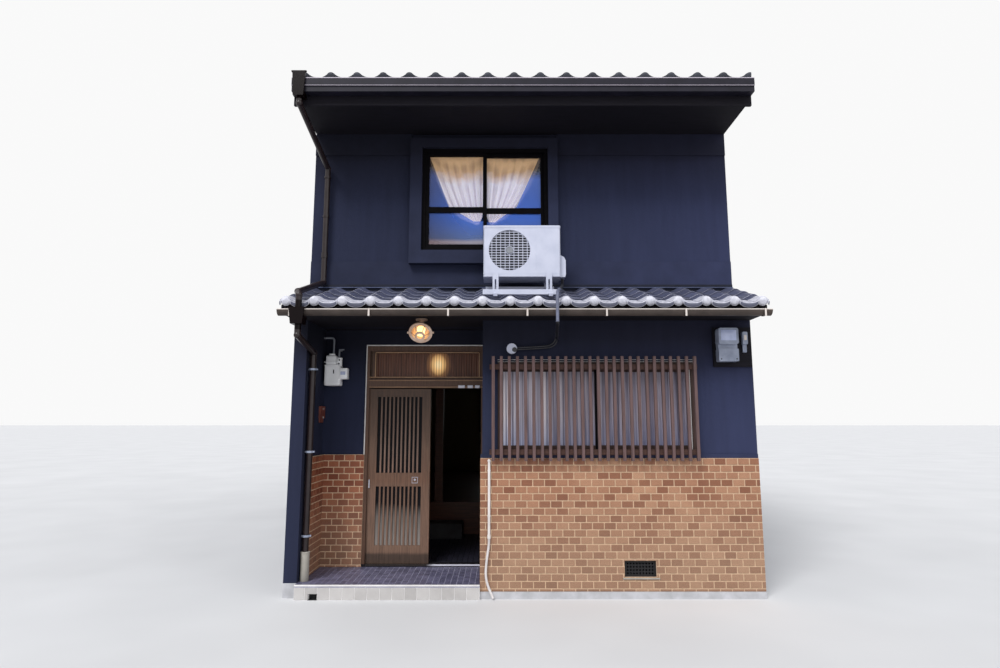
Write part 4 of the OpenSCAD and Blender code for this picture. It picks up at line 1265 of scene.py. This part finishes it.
class MACHIYA_OT_roofs(Step, bpy.types.Operator):
    """Lays the pan tiles of all three slopes, and finishes the ridge and the flashing"""

    bl_idname = "machiya.roofs"
    bl_label = "Roofs"

    OVERHANG = 0.03  # of the tiles beyond the deck

    def cover(self, name, node, deck, slope, first_roll, courses, columns, seed, short, near=False, rear_y=None):
        """Lays a slope's tiles and eave tiles on its deck and trims them at the party walls.

        The deck is given by the y of its eave and by the y and z of its top, short of which the
        tiles stop. The near slope is seen from close by: its tiles have eased edges and painted highlights.
        """
        low_y, top_y, top_z = deck
        y = low_y - self.OVERHANG
        angle = math.atan(slope)
        run = (top_y - y - short) / math.cos(angle)
        field = tile_field(first_roll, run, courses, columns, seed, near)
        tiles = settle(join([field, eave_tiles(first_roll, seed + 1)]))
        for side in (-1, 1):
            cut_away(tiles, (side * SIDE_X, 0, 0), (side, 0, 0))
        place(tiles, (0, y, top_z - (top_y - y) * slope), (angle, 0, 0))
        if rear_y is not None:
            mirror(tiles, rear_y)
        finish_piece(tiles, name, "eave_tile" if near else "smoked_tile", "roof_tile", replaced=node, smooth=40)

    def build(self):
        low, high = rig.box("pent_roof_frame")
        wall_y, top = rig.box("upper_front_wall")[0].y, high.z
        self.cover("pent_tiles", "pent_roof_tiles", (low.y, wall_y, top), slope=0.338, first_roll=-2.252,
                   courses=4, columns=22, seed=11, short=0.02, near=True)
        flashing = add_box((-SIDE_X, wall_y - 0.024, top + 0.012), (SIDE_X, wall_y - 0.014, 3.154), edge=0.002)
        lip = add_box((-SIDE_X, wall_y - 0.045, top + 0.055), (SIDE_X, wall_y - 0.018, top + 0.063), edge=0.002)
        finish_piece(flashing, "pent_flashing", "black_trim", "wall_render")
        finish_piece(lip, "flashing_lip", "lip_blue", "gutter")

        low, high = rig.box("main_roof_deck_front")
        ridge_low, ridge_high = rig.box("roof_ridge")
        middle = (ridge_low.y + ridge_high.y) / 2
        for side, seed, rear_y in [("front", 21, None), ("rear", 22, middle)]:
            self.cover(f"main_tiles_{side}", f"main_roof_tiles_{side}", (low.y, high.y, high.z), slope=0.4,
                       first_roll=-2.207, courses=20, columns=12, seed=seed, short=0.06, rear_y=rear_y)

        z = ridge_high.z - 0.09
        collar = add_rod((-SIDE_X + 0.05, middle, z), (-SIDE_X + 0.078, middle, z), 0.089, sides=28, edge=0.003)
        repeat(collar, 17, (0.263, 0, 0))
        finish_piece(collar, "ridge_collars", "smoked_tile", "roof_tile")


# Paving


def paved(low, high, height, tile):
    """Square floor tiles with eased edges over a rectangle."""
    (x0, y0), (x1, y1) = low, high
    joint = 0.005
    step = tile + joint
    left, back = x0 + joint / 2, y1 - joint / 2
    piece = add_box((left, back - tile, height - 0.003), (left + tile, back, height + 0.002), edge=0.0012)
    faces = len(piece.data.polygons)
    repeat(piece, math.ceil((x1 - x0) / step), (step, 0, 0))
    repeat(piece, math.ceil((y1 - y0) / step), (0, -step, 0))
    tint_copies(piece, faces, 31)
    cut_away(piece, (x1, 0, 0), (1, 0, 0))
    return cut_away(piece, (0, y0, 0), (0, -1, 0))


class MACHIYA_OT_paving(Step, bpy.types.Operator):
    """Tiles the alcove, the hall and the step's riser"""

    bl_idname = "machiya.paving"
    bl_label = "Paving"

    HALL_START, HALL_END, HALL_FLOOR = -3.168, -1.432, 0.149
    DRAIN_LEFT, DRAIN_RIGHT, DRAIN_TOP = -2.046, -1.961, 0.057

    def build(self):
        low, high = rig.box("entrance_step")
        tile = sizes().floor_tile
        alcove = paved((low.x, low.y + 0.012), (ALCOVE_END, high.y - 0.01), ALCOVE_FLOOR, tile)
        finish_piece(alcove, "floor_tiles", "paving_tile", "floor_tile", smooth=0)
        hall = paved((low.x, self.HALL_START), (high.x, self.HALL_END), self.HALL_FLOOR, tile)
        finish_piece(hall, "hall_tiles", "hall_tile", "floor_tile", smooth=0)
        nosing = add_box((low.x, low.y - 0.008, ALCOVE_FLOOR - 0.012),
                         (ALCOVE_END, low.y + 0.012, ALCOVE_FLOOR + 0.002), edge=0.003, segments=2)
        finish_piece(nosing, "step_nosing", "pale_nosing", "step_tile")

        width = sizes().riser_tile
        riser = add_box((0, -0.004, 0.004), (width, 0.001, 0.112), edge=0.0015)
        faces = len(riser.data.polygons)
        place(riser, (low.x - 0.015, low.y, 0))
        repeat(riser, 16, (width + 0.005, 0, 0))
        tint_copies(riser, faces, 37)
        cut_away(riser, (ALCOVE_END - 0.001, 0, 0), (1, 0, 0))
        cut_away(riser, (low.x + 0.002, 0, 0), (-1, 0, 0))
        left, right, top = self.DRAIN_LEFT, self.DRAIN_RIGHT, self.DRAIN_TOP
        subtract(riser, add_box((left, low.y - 0.05, -0.01), (right, low.y + 0.05, top)))
        finish_piece(riser, "riser_tiles", "riser_tile", "step_tile", smooth=0)
        outlet = add_box((left - 0.004, low.y - 0.006, 0.001),
                         (right + 0.004, low.y + 0.056, top + 0.004), edge=0.003)
        inset_front(outlet, 0.006)
        shape(outlet, "FACE", lambda at, way: way.y < -0.9 and 0.02 < at.z < 0.04,
              bpy.ops.transform.translate, value=(0, 0.05, 0))
        finish_piece(outlet, "drain_outlet", "cast_iron", "vent_iron")


# Curtains


def along(line, t):
    """The point at a share of the way through a line's points."""
    reach = t * (len(line) - 1)
    i = min(int(reach), len(line) - 2)
    return Vector(line[i]).lerp(Vector(line[i + 1]), reach - i)


def swag(name, node, left, right, seed):
    """A curtain drawn back to one side, gathered into folds that run down to its tail."""
    low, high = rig.box(node)
    middle = (low.y + high.y) / 2
    phase = random.Random(seed).random() * 6
    shades = []

    def hang(across, up):
        down = 1 - up
        at = along(left, down).lerp(along(right, down), across)
        # Six upright folds with finer ones between them, which give way to hanging curves near the top
        fold = math.sin(across * 6.2 * math.tau + phase + 0.7 * math.sin(3 * down + 5 * across))
        fold += 0.35 * math.sin(across * 13.7 * math.tau + 2 * down)
        sag = max(0.0, 1 - down / 0.5)
        curve = math.sin(math.tau * (4.4 * down + 2.4 * (across - 0.5) ** 2) + phase)
        fold = fold * (1 - 0.75 * sag) + 0.9 * sag * curve
        # Painted shade for the cloth: lower where the fold sits further back.
        shades.append(0.5 - 0.4 * fold)
        return (at.x, middle + 0.0155 * fold * (0.75 + 0.25 * math.sin(3 * down)), at.y)

    cloth = add_sheet(columns=72, rows=26, bend=hang)
    record(cloth, "shade", shades, "POINT")
    modify(cloth, "SMOOTH", factor=0.4, iterations=2)
    return finish_piece(cloth, name, "curtain_cloth", "curtain", replaced=node, smooth=80)


class MACHIYA_OT_curtains(Step, bpy.types.Operator):
    """Hangs the two drawn curtains"""

    bl_idname = "machiya.curtains"
    bl_label = "Curtains"

    # Both edges of each curtain from its top to its tail, as x and z
    LEFT = (
        [(-1.046, 4.70), (-1.012, 4.56), (-0.93, 4.33), (-0.80, 4.04), (-0.67, 3.93), (-0.492, 3.862)],
        [(-0.424, 4.70), (-0.424, 4.50), (-0.424, 4.30), (-0.424, 4.10), (-0.428, 3.96), (-0.462, 3.870)],
    )
    RIGHT = (
        [(-0.382, 4.70), (-0.382, 4.50), (-0.382, 4.30), (-0.382, 4.10), (-0.379, 3.96), (-0.345, 3.870)],
        [(0.246, 4.70), (0.217, 4.56), (0.12, 4.33), (-0.044, 4.05), (-0.16, 3.94), (-0.312, 3.862)],
    )

    def build(self):
        left = swag("curtain_cloth_left", "curtain_left", *self.LEFT, 41)
        right = swag("curtain_cloth_right", "curtain_right", *self.RIGHT, 43)
        for cloth in (left, right):
            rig.sheet(cloth, flat=(0.80, 0.90), held="hung", rests_on=["upper_front_wall"], area=0.52)


# Bay window


class MACHIYA_OT_lattice(Step, bpy.types.Operator):
    """Fixes the upright bars in front of two rails that stand off from the bay's wall"""

    bl_idname = "machiya.lattice"
    bl_label = "Lattice"

    BARS = 26
    RAIL_HEIGHTS = (1.350, 2.182)

    def build(self):
        low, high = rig.box("bay_lattice")
        first, last = low.x + 0.072, high.x - 0.048
        bar = add_box((first - 0.015, low.y, low.z), (first + 0.015, low.y + 0.030, high.z), edge=0.002)
        repeat(bar, self.BARS, ((last - first) / (self.BARS - 1), 0, 0))
        finish_piece(bar, "lattice_bars", "lattice_timber", "lattice_timber", replaced="bay_lattice")
        pieces = []
        for z in self.RAIL_HEIGHTS:
            pieces.append(add_box((first - 0.036, low.y + 0.031, z),
                                  (last + 0.030, low.y + 0.056, z + 0.052), edge=0.002))
            for x in (first - 0.02, (first + last) / 2 - 0.01, last):
                pieces.append(add_box((x, low.y + 0.055, z + 0.012), (x + 0.02, BAY_Y, z + 0.040), edge=0.0015))
        finish_piece(pieces, "lattice_rails", "rail_timber", "lattice_timber")


class MACHIYA_OT_bay_window(Step, bpy.types.Operator):
    """Sets two sliding sashes with narrow stiles into a flat casing"""

    bl_idname = "machiya.bay_window"
    bl_label = "Bay window"

    def casing(self, xs, ys, zs, stile, rail, edge):
        """A rectangular ring of four boards between three pairs of planes."""
        (x0, x1), (y0, y1), (z0, z1) = xs, ys, zs
        inner0, inner1 = x0 + stile - 0.001, x1 - stile + 0.001
        return [
            add_box((x0, y0, z0), (x0 + stile, y1, z1), edge=edge),
            add_box((x1 - stile, y0, z0), (x1, y1, z1), edge=edge),
            add_box((inner0, y0 + 0.0005, z0), (inner1, y1, z0 + rail), edge=edge),
            add_box((inner0, y0 + 0.0005, z1 - rail), (inner1, y1, z1), edge=edge),
        ]

    def build(self):
        low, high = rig.box("bay_window_frame")
        middle = (low.x + high.x) / 2 + 0.006
        y = low.y
        pieces = self.casing((low.x - 0.030, high.x + 0.030), (y - 0.006, y + 0.010),
                             (low.z - 0.020, high.z + 0.020), 0.036, 0.036, 0.002)
        pieces += self.casing((low.x + 0.001, high.x - 0.001), (y + 0.008, high.y),
                              (low.z + 0.001, high.z - 0.001), 0.006, 0.020, 0.001)
        panes = []
        for x0, x1, front in [(low.x + 0.007, middle + 0.015, y + 0.016),
                              (middle - 0.015, high.x - 0.007, y + 0.050)]:
            pieces += self.casing((x0, x1), (front, front + 0.028),
                                  (low.z + 0.020, high.z - 0.020), 0.016, 0.055, 0.0015)
            panes.append(add_box((x0 + 0.010, front + 0.012, low.z + 0.070),
                                 (x1 - 0.010, front + 0.016, high.z - 0.070), edge=0.0005))
        finish_piece(pieces, "bay_sashes", "bay_frame", "bronze_frame", replaced="bay_window_frame")
        finish_piece(panes, "bay_panes", "obscure_glass", "frosted_glass", replaced="bay_window_glass")
        meeting = add_box((middle - 0.017, y + 0.014, low.z + 0.020),
                          (middle + 0.017, y + 0.080, high.z - 0.020), edge=0.002)
        finish_piece(meeting, "bay_meeting_stile", "bronze_frame", "bronze_frame")
        drips = [add_box((low.x - 0.03, y - 0.010, z), (high.x + 0.03, y + 0.002, z + 0.004), edge=0.001)
                 for z in (high.z + 0.022, high.z + 0.042)]
        strip = add_box((high.x - 0.016, y - 0.009, low.z + 0.03),
                        (high.x - 0.009, y - 0.004, high.z - 0.03), edge=0.001)
        finish_piece([*drips, strip], "window_drips", "pale_nosing", "bronze_frame")


# Drain hose and refrigerant line


class MACHIYA_OT_hose(Step, bpy.types.Operator):
    """Runs the drain hose down to the ground"""

    bl_idname = "machiya.hose"
    bl_label = "Drain hose"

    PATH = [
        (-0.336, -4.020, 0.557), (-0.336, -4.020, 0.530), (-0.337, -4.020, 0.500), (-0.341, -4.021, 0.465),
        (-0.347, -4.022, 0.430), (-0.353, -4.023, 0.390), (-0.358, -4.024, 0.350), (-0.362, -4.026, 0.310),
        (-0.365, -4.028, 0.270), (-0.366, -4.030, 0.235), (-0.363, -4.033, 0.200), (-0.356, -4.036, 0.165),
        (-0.346, -4.040, 0.132), (-0.333, -4.044, 0.100), (-0.319, -4.048, 0.070), (-0.306, -4.053, 0.042),
        (-0.296, -4.058, 0.018),
    ]
    DIAMETER = 0.024

    def build(self):
        hose = add_tube(self.PATH, self.DIAMETER / 2, sides=16)
        finish_piece(hose, "drain_hose_tube", "hose_ribs", "line_cover", replaced="drain_hose", smooth=60)
        length = sum((Vector(b) - Vector(a)).length for a, b in zip(self.PATH, self.PATH[1:]))
        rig.cord(hose, exit=self.PATH[0], length=round(length, 3), diameter=self.DIAMETER, far_end="bare",
                stiffness="stiff", lay="hanging", path=self.PATH)


class MACHIYA_OT_lines(Step, bpy.types.Operator):
    """Wraps the refrigerant line and runs its tubes into the wall"""

    bl_idname = "machiya.lines"
    bl_label = "Refrigerant line"

    UPPER = [
        (0.414, -3.935, 3.132), (0.414, -3.935, 3.105), (0.405, -4.000, 3.045), (0.372, -4.200, 2.972),
        (0.312, -4.500, 2.890), (0.300, -4.572, 2.810), (0.300, -4.572, 2.580),
    ]
    LOWER = [
        (0.300, -4.572, 2.640), (0.300, -4.572, 2.570), (0.318, -4.330, 2.530), (0.338, -4.060, 2.500),
        (0.325, -4.026, 2.450), (0.270, -4.024, 2.415), (0.150, -4.022, 2.405), (-0.085, -4.022, 2.393),
    ]
    # Each tube's offset from the route, and its radius
    TUBES = [((-0.007, 0.0, 0.009), 0.0085), ((0.007, 0.0, -0.009), 0.0075)]
    CAP_X, CAP_Z = -0.112, 2.393
    MOUTH_X, MOUTH_Z = -0.085, 2.383

    def build(self):
        cover = add_tube(rounded_path(self.UPPER, 0.08), 0.0155, sides=20)
        rim = add_ring((0.300, -4.572, 2.582), 0.0145, 0.003)
        finish_piece([cover, rim], "line_cover", "tape_wrap", "line_cover", smooth=60)
        route = rounded_path(self.LOWER, 0.09)
        tubes = [add_tube([point + Vector(step) for point in route], radius) for step, radius in self.TUBES]
        finish_piece(tubes, "line_tubes", "black_foam", "line_cover", replaced="ac_line_set", smooth=60)
        x, z = self.CAP_X, self.CAP_Z
        cap = inset_front(add_rod((x, -4.050, z), (x, -3.982, z), 0.052, sides=40), 0.008)
        x, z = self.MOUTH_X, self.MOUTH_Z
        subtract(cap, add_rod((x, -4.080, z), (x, -4.000, z), 0.025, sides=28), "EXACT")
        soften(cap, 0.0015)
        plug = add_rod((x, -4.044, z), (x, -4.002, z), 0.0245, sides=28, edge=0.002)
        finish_piece(plug, "line_plug", "black_foam", "line_cover")
        finish_piece(cap, "line_cap", "white_enamel", "line_cover")


# Fittings


class MACHIYA_OT_fan(Step, bpy.types.Operator):
    """Adds the fan behind the air conditioner's guard, the guard's boss and the casing's seams"""

    bl_idname = "machiya.fan"
    bl_label = "Fan"

    BLADES = 3
    FAN_X, FAN_Z = -0.133, 3.398

    def build(self):
        low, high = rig.box("ac_unit")
        centre = Vector((self.FAN_X, low.y + 0.003, self.FAN_Z))
        dish = add_rod(centre + Vector((0, 0.036, 0)), centre + Vector((0, 0.0405, 0)), 0.2095, sides=48, edge=0.002)
        blades = []
        for i in range(self.BLADES):

            def sweep(across, up, i=i):
                """A blade that reaches outwards and twists as it goes."""
                out, turn = 0.045 + across * 0.145, up - 0.5
                angle = i * math.tau / self.BLADES + turn * (1.5 - 2.2 * out)
                return (out * math.cos(angle), 0.020 + 0.010 * turn, out * math.sin(angle))

            blade = modify(add_sheet(10, 6, sweep), "SOLIDIFY", thickness=0.003, offset=0)
            blades.append(place(blade, centre))
        finish_piece([dish, *blades], "ac_fan", "dark_fan", "white_metal")
        boss = add_rod(centre + Vector((0, -0.006, 0)), centre, 0.036, sides=28, edge=0.002)
        finish_piece(boss, "guard_boss", "boss_grey", "white_metal")
        seams = [
            add_box((low.x + 0.003, low.y + 0.002, 3.150), (high.x - 0.06, low.y + 0.0045, 3.154), edge=0.0006),
            add_box((0.135, low.y + 0.0015, 3.180), (0.139, low.y + 0.0045, 3.625), edge=0.0006),
        ]
        finish_piece(seams, "ac_seams", "white_enamel", "white_metal")


class MACHIYA_OT_entrance(Step, bpy.types.Operator):
    """Adds the leaves' lock plates and pull, and the frame's bead, painted edge highlights, clips and sill"""

    bl_idname = "machiya.entrance"
    bl_label = "Entrance"

    CLIPS = [(-0.695, -0.620), (-0.590, -0.530), (-0.508, -0.455)]  # from x to x

    def build(self):
        for side in ("outer", "inner"):
            self.lock(side)
        self.frame()
        self.transom()
        low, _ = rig.box("door_leaf_outer")
        pull = add_box((low.x + 0.012, low.y - 0.0012, 0.955), (low.x + 0.026, low.y + 0.002, 1.045), edge=0.003)
        inset_front(pull, 0.003, -0.001)
        finish_piece(pull, "leaf_pull", "steel_plate", "white_metal", body="outer_leaf")

    def lock(self, side):
        """A plate let into the stile of one leaf, with a round keyhole cover."""
        low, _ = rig.box(f"door_leaf_{side}")
        x, z = low.x + 0.484, low.z + 0.842
        plate = add_box((x, low.y - 0.0006, z), (x + 0.066, low.y + 0.0025, z + 0.068), edge=0.002)
        inset_front(plate, 0.008, -0.0012)
        hole_x, hole_z = x + 0.033, z + 0.038
        hole = add_rod((hole_x, low.y - 0.0012, hole_z), (hole_x, low.y + 0.002, hole_z), 0.012, sides=20, edge=0.001)
        finish_piece([plate, hole], f"lock_{side}", "steel_plate", "white_metal", body=f"{side}_leaf")

    def frame(self):
        low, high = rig.box("entrance_frame")
        front, back = low.y - 0.004, low.y + 0.006
        left = add_box((low.x - 0.010, front, 1.315), (low.x + 0.002, back, high.z + 0.01), edge=0.003)
        head = add_box((low.x - 0.010, front, high.z - 0.002), (high.x, back, high.z + 0.01), edge=0.003)
        finish_piece([left, head], "frame_bead", "pale_nosing", "door_timber")
        clips = [add_box((start, low.y - 0.006, 2.038), (end, low.y + 0.002, 2.070), edge=0.003)
                 for start, end in self.CLIPS]
        finish_piece(clips, "head_clips", "steel_plate", "white_metal")
        sill = add_box((low.x + 0.04, low.y - 0.003, 0.146), (high.x - 0.002, low.y + 0.020, 0.1615), edge=0.002)
        finish_piece(sill, "door_sill_strip", "painted_sill_sheen", "white_metal")

    def transom(self):
        """A jamb beside the glass, and strips of painted highlight around it and along the head."""
        low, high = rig.box("entrance_frame")
        glass_low, glass_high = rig.box("transom_glass")
        left, right = glass_low.x + 0.036, glass_high.x
        bottom, top = glass_low.z, glass_high.z
        jamb = add_box((glass_low.x, low.y + 0.006, bottom), (left, glass_low.y - 0.001, top), edge=0.002)
        finish_piece(jamb, "transom_jamb", "frame_timber", "door_timber")
        front = low.y - 0.003
        # Painted highlights: bright strips where the frame's edges catch the light.
        highlight_strips = [
            add_box((x0, front, z0), (x1, front + 0.005, z1), edge=0.0015)
            for x0, x1, z0, z1 in [
                (left - 0.004, left + 0.005, bottom, top),
                (left, right, top - 0.001, top + 0.008),
                (right - 0.001, right + 0.008, bottom, top),
                (low.x + 0.03, high.x, bottom - 0.010, bottom - 0.001),
                (low.x + 0.03, high.x, bottom - 0.046, bottom - 0.040),
                (low.x + 0.03, high.x, 2.046, 2.054),
            ]
        ]
        finish_piece(highlight_strips, "frame_edges", "painted_edge_highlight", "door_timber")


class MACHIYA_OT_gutters(Step, bpy.types.Operator):
    """Adds painted highlight lines along the gutters' edges, and the hooks that hold the lower one"""

    bl_idname = "machiya.gutters"
    bl_label = "Gutters"

    LIP_Y, LIP_Z = -4.5185, 2.708
    HOOKS, HOOK_PITCH = 7, 0.738

    def build(self):
        y, z = self.LIP_Y, self.LIP_Z
        # A cream rod along the lower gutter's rolled edge: painted highlight.
        lip = add_rod((-SIDE_X, y, z), (SIDE_X, y, z), 0.0052, sides=12, edge=0.001)
        strap = add_box((-2.197, y - 0.004, z - 0.002), (-2.179, -4.402, z + 0.006), edge=0.002)
        tip = add_box((-2.197, y - 0.010, z - 0.066), (-2.180, y - 0.006, z + 0.006), edge=0.0015)
        hooks = repeat(join([strap, tip]), self.HOOKS, (self.HOOK_PITCH, 0, 0))
        finish_piece([lip, hooks], "gutter_lip", "cream_lip", "white_metal")
        low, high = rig.box("main_gutters")
        # Painted highlights: lilac lines along each main gutter's top edge and lower down its face.
        highlight_lines = []
        for y in (low.y, high.y):
            for half, bottom, top in [(0.0025, high.z - 0.007, high.z + 0.0015),
                                      (0.002, low.z + 0.058, low.z + 0.063)]:
                highlight_lines.append(add_box((-SIDE_X, y - half, bottom), (SIDE_X, y + half, top), edge=0.001))
        finish_piece(highlight_lines, "main_gutter_lip_highlights", "lilac_lip_highlight", "gutter")


class MACHIYA_OT_pipes(Step, bpy.types.Operator):
    """Adds the lower downpipe's sleeve and straps"""

    bl_idname = "machiya.pipes"
    bl_label = "Pipes"

    PIPE_X, PIPE_Y = -2.133, -3.900
    STRAP_HEIGHTS = (0.550, 1.361, 2.185)

    def build(self):
        x, y = self.PIPE_X, self.PIPE_Y
        sleeve = join([add_rod((x, y, 0.139), (x, y, 0.412), 0.0425, sides=36),
                       add_rod((x, y, 0.396), (x, y, 0.414), 0.0445, sides=36)])
        finish_piece(soften(sleeve, 0.002, 2), "pipe_sleeve", "sleeve_grey", "line_cover")
        bands = []
        for z in self.STRAP_HEIGHTS:
            bands.append(add_rod((x, y, z), (x, y, z + 0.022), 0.0385, sides=36, edge=0.002))
            bands.append(add_box((-2.178, y - 0.010, z + 0.001), (x, y + 0.010, z + 0.021), edge=0.002))
            bands.append(add_box((x + 0.034, y - 0.009, z + 0.002), (x + 0.050, y + 0.009, z + 0.020), edge=0.002))
        finish_piece(bands, "pipe_straps", "meter_grey", "white_metal")


class MACHIYA_OT_meter(Step, bpy.types.Operator):
    """Adds the electric meter's window, screws and lever"""

    bl_idname = "machiya.meter"
    bl_label = "Electric meter"

    LEFT, RIGHT = 1.962, 2.115

    def build(self):
        low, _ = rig.box("electric_meter")
        glass = add_box((self.LEFT, low.y - 0.003, 2.468), (self.RIGHT, low.y + 0.004, 2.575), edge=0.006, segments=2)
        finish_piece(glass, "meter_window", "meter_glass", "clear_glass")
        screws = [add_rod((x, low.y + 0.010, 2.285), (x, low.y + 0.0155, 2.285), 0.007, edge=0.001)
                  for x in (self.LEFT, self.RIGHT)]
        finish_piece(screws, "meter_screws", "dark_fan", "meter_grey")
        lever = add_box((2.212, low.y + 0.055, 2.478), (2.240, low.y + 0.062, 2.530), edge=0.003)
        finish_piece(lever, "breaker_lever", "cream_lip", "meter_grey")


class MACHIYA_OT_intercom(Step, bpy.types.Operator):
    """Adds the intercom's button and sound slots"""

    bl_idname = "machiya.intercom"
    bl_label = "Intercom"

    SLOT_DROPS = (0.022, 0.030, 0.038)  # below the top

    def build(self):
        low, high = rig.box("intercom")
        y, z = (low.y + high.y) / 2, low.z + 0.055
        # The pale button is partly a real button and partly a painted glint.
        button = add_rod((high.x - 0.001, y, z), (high.x + 0.003, y, z), 0.011, sides=20, edge=0.0015)
        pieces = [button]
        for drop in self.SLOT_DROPS:
            z = high.z - drop
            pieces.append(add_box((high.x - 0.001, y - 0.032, z),
                                  (high.x + 0.001, y + 0.032, z + 0.003), edge=0.0004))
        finish_piece(pieces, "intercom_button", "pale_nosing", "meter_grey")


class MACHIYA_OT_gas(Step, bpy.types.Operator):
    """Makes the gas meter: a cast body, regulator and side box on two pipes with a stop handle"""

    bl_idname = "machiya.gas"
    bl_label = "Gas meter"

    # Routes of the two pipes, and their radii
    PIPES = [
        ([(-2.066, -3.390, 2.400), (-2.066, -3.390, 2.588), (-2.178, -3.390, 2.588)], 0.011),
        ([(-2.002, -3.400, 2.360), (-2.002, -3.400, 2.455), (-2.002, -3.302, 2.455)], 0.010),
    ]
    DIALS = [(-1.996, 2.300), (-1.990, 2.340)]  # x and z

    def build(self):
        _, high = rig.box("gas_meter")
        body = add_box((-2.147, -3.452, 2.060), (-1.974, -3.322, 2.283), edge=0.014, segments=3)
        inset_front(body, 0.018, -0.004, lambda at, way: way.y < -0.99)
        head = add_box((-2.142, -3.444, 2.281), (-2.026, -3.330, 2.392), edge=0.022, segments=3)
        caps = [add_rod((-2.084, -3.390, 2.380), (-2.084, -3.390, 2.412), 0.034, sides=20, edge=0.003),
                add_rod((-1.996, -3.400, 2.270), (-1.996, -3.400, 2.366), 0.030, sides=20, edge=0.004)]
        flanges = [add_box((-2.150, -3.456, z), (-2.000, -3.330, z + 0.008), edge=0.002) for z in (2.276, 2.312)]
        side = add_box((-1.986, high.y - 0.158, 2.130), (-1.893, -3.372, 2.250), edge=0.008, segments=2)
        finish_piece([body, head, side, *caps, *flanges], "gas_body", "gas_white", "meter_grey", replaced="gas_meter")
        pipes = [add_tube(rounded_path(route, 0.03), radius) for route, radius in self.PIPES]
        handle = add_box((-2.006, -3.418, 2.448), (-1.946, -3.410, 2.462), edge=0.002)
        finish_piece([*pipes, handle], "gas_pipes", "boss_grey", "meter_grey", smooth=60)
        window = add_box((-1.968, high.y - 0.160, 2.176), (-1.914, -3.452, 2.212), edge=0.002)
        finish_piece(window, "gas_window", "meter_glass", "meter_grey")
        dials = [add_rod((x, -3.436, z), (x, -3.424, z), 0.009, edge=0.002) for x, z in self.DIALS]
        slot = add_box((-2.050, -3.4545, 2.190), (-2.040, -3.446, 2.232), edge=0.002)
        finish_piece([*dials, slot], "gas_dials", "dark_fan", "meter_grey")


class MACHIYA_OT_edges(Step, bpy.types.Operator):
    """Eases the edges of carried-over pieces with modifiers that leave their points alone"""

    bl_idname = "machiya.edges"
    bl_label = "Edges"

    WIDTHS = {
        0.003: ["entrance_frame", "upper_window_frame", "rear_window_frames", "window_surround", "inner_post",
                "meter_board", "wall_trim"],
        0.002: ["door_leaf_outer", "door_leaf_inner", "ac_stand", "intercom", "main_gutters", "electric_meter"],
        0.004: ["foundation", "pent_roof_frame", "main_eaves", "raised_floor"],
    }

    def build(self):
        for width, nodes in self.WIDTHS.items():
            for node in nodes:
                bevel = NODES[node].modifiers.new("Eased edges", "BEVEL")
                bevel.width = width
                bevel.limit_method = "ANGLE"
                bevel.angle_limit = math.radians(40)


OPERATORS = [
    MACHIYA_OT_stage,
    MACHIYA_OT_hose,
    MACHIYA_OT_finishes,
    MACHIYA_OT_bricks,
    MACHIYA_OT_roofs,
    MACHIYA_OT_paving,
    MACHIYA_OT_curtains,
    MACHIYA_OT_lattice,
    MACHIYA_OT_bay_window,
    MACHIYA_OT_lines,
    MACHIYA_OT_fan,
    MACHIYA_OT_entrance,
    MACHIYA_OT_gutters,
    MACHIYA_OT_pipes,
    MACHIYA_OT_meter,
    MACHIYA_OT_intercom,
    MACHIYA_OT_gas,
    MACHIYA_OT_edges,
]


class MACHIYA_PT_panel(bpy.types.Panel):
    """Lists the steps that dress the townhouse"""

    bl_label = "Machiya townhouse"
    bl_idname = "MACHIYA_PT_panel"
    bl_space_type = "VIEW_3D"
    bl_region_type = "UI"
    bl_category = "Machiya"

    def draw(self, context):
        for group in (context.scene.machiya_finishes, context.scene.machiya_sizes):
            for name in group.__annotations__:
                self.layout.prop(group, name)
        for operator in OPERATORS:
            self.layout.operator(operator.bl_idname)


CLASSES = [MachiyaFinishes, MachiyaSizes, *OPERATORS, MACHIYA_PT_panel]


def register():
    for made in CLASSES:
        bpy.utils.register_class(made)
    bpy.types.Scene.machiya_finishes = PointerProperty(type=MachiyaFinishes)
    bpy.types.Scene.machiya_sizes = PointerProperty(type=MachiyaSizes)


def unregister():
    del bpy.types.Scene.machiya_sizes
    del bpy.types.Scene.machiya_finishes
    for made in reversed(CLASSES):
        bpy.utils.unregister_class(made)


def write_size():
    """Writes the model's box and the finished house's box."""
    boxes = {
        "cad": [list(corner) for corner in CAD_BOX],
        "visual": [list(corner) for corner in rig.bounds()],
    }
    with open(SIZE_FILE, "w") as out:
        json.dump(boxes, out)


def main():
    register()
    for operator in OPERATORS:
        group, name = operator.bl_idname.split(".")
        getattr(getattr(bpy.ops, group), name)()
    write_size()


if __name__ == "__main__":
    main()
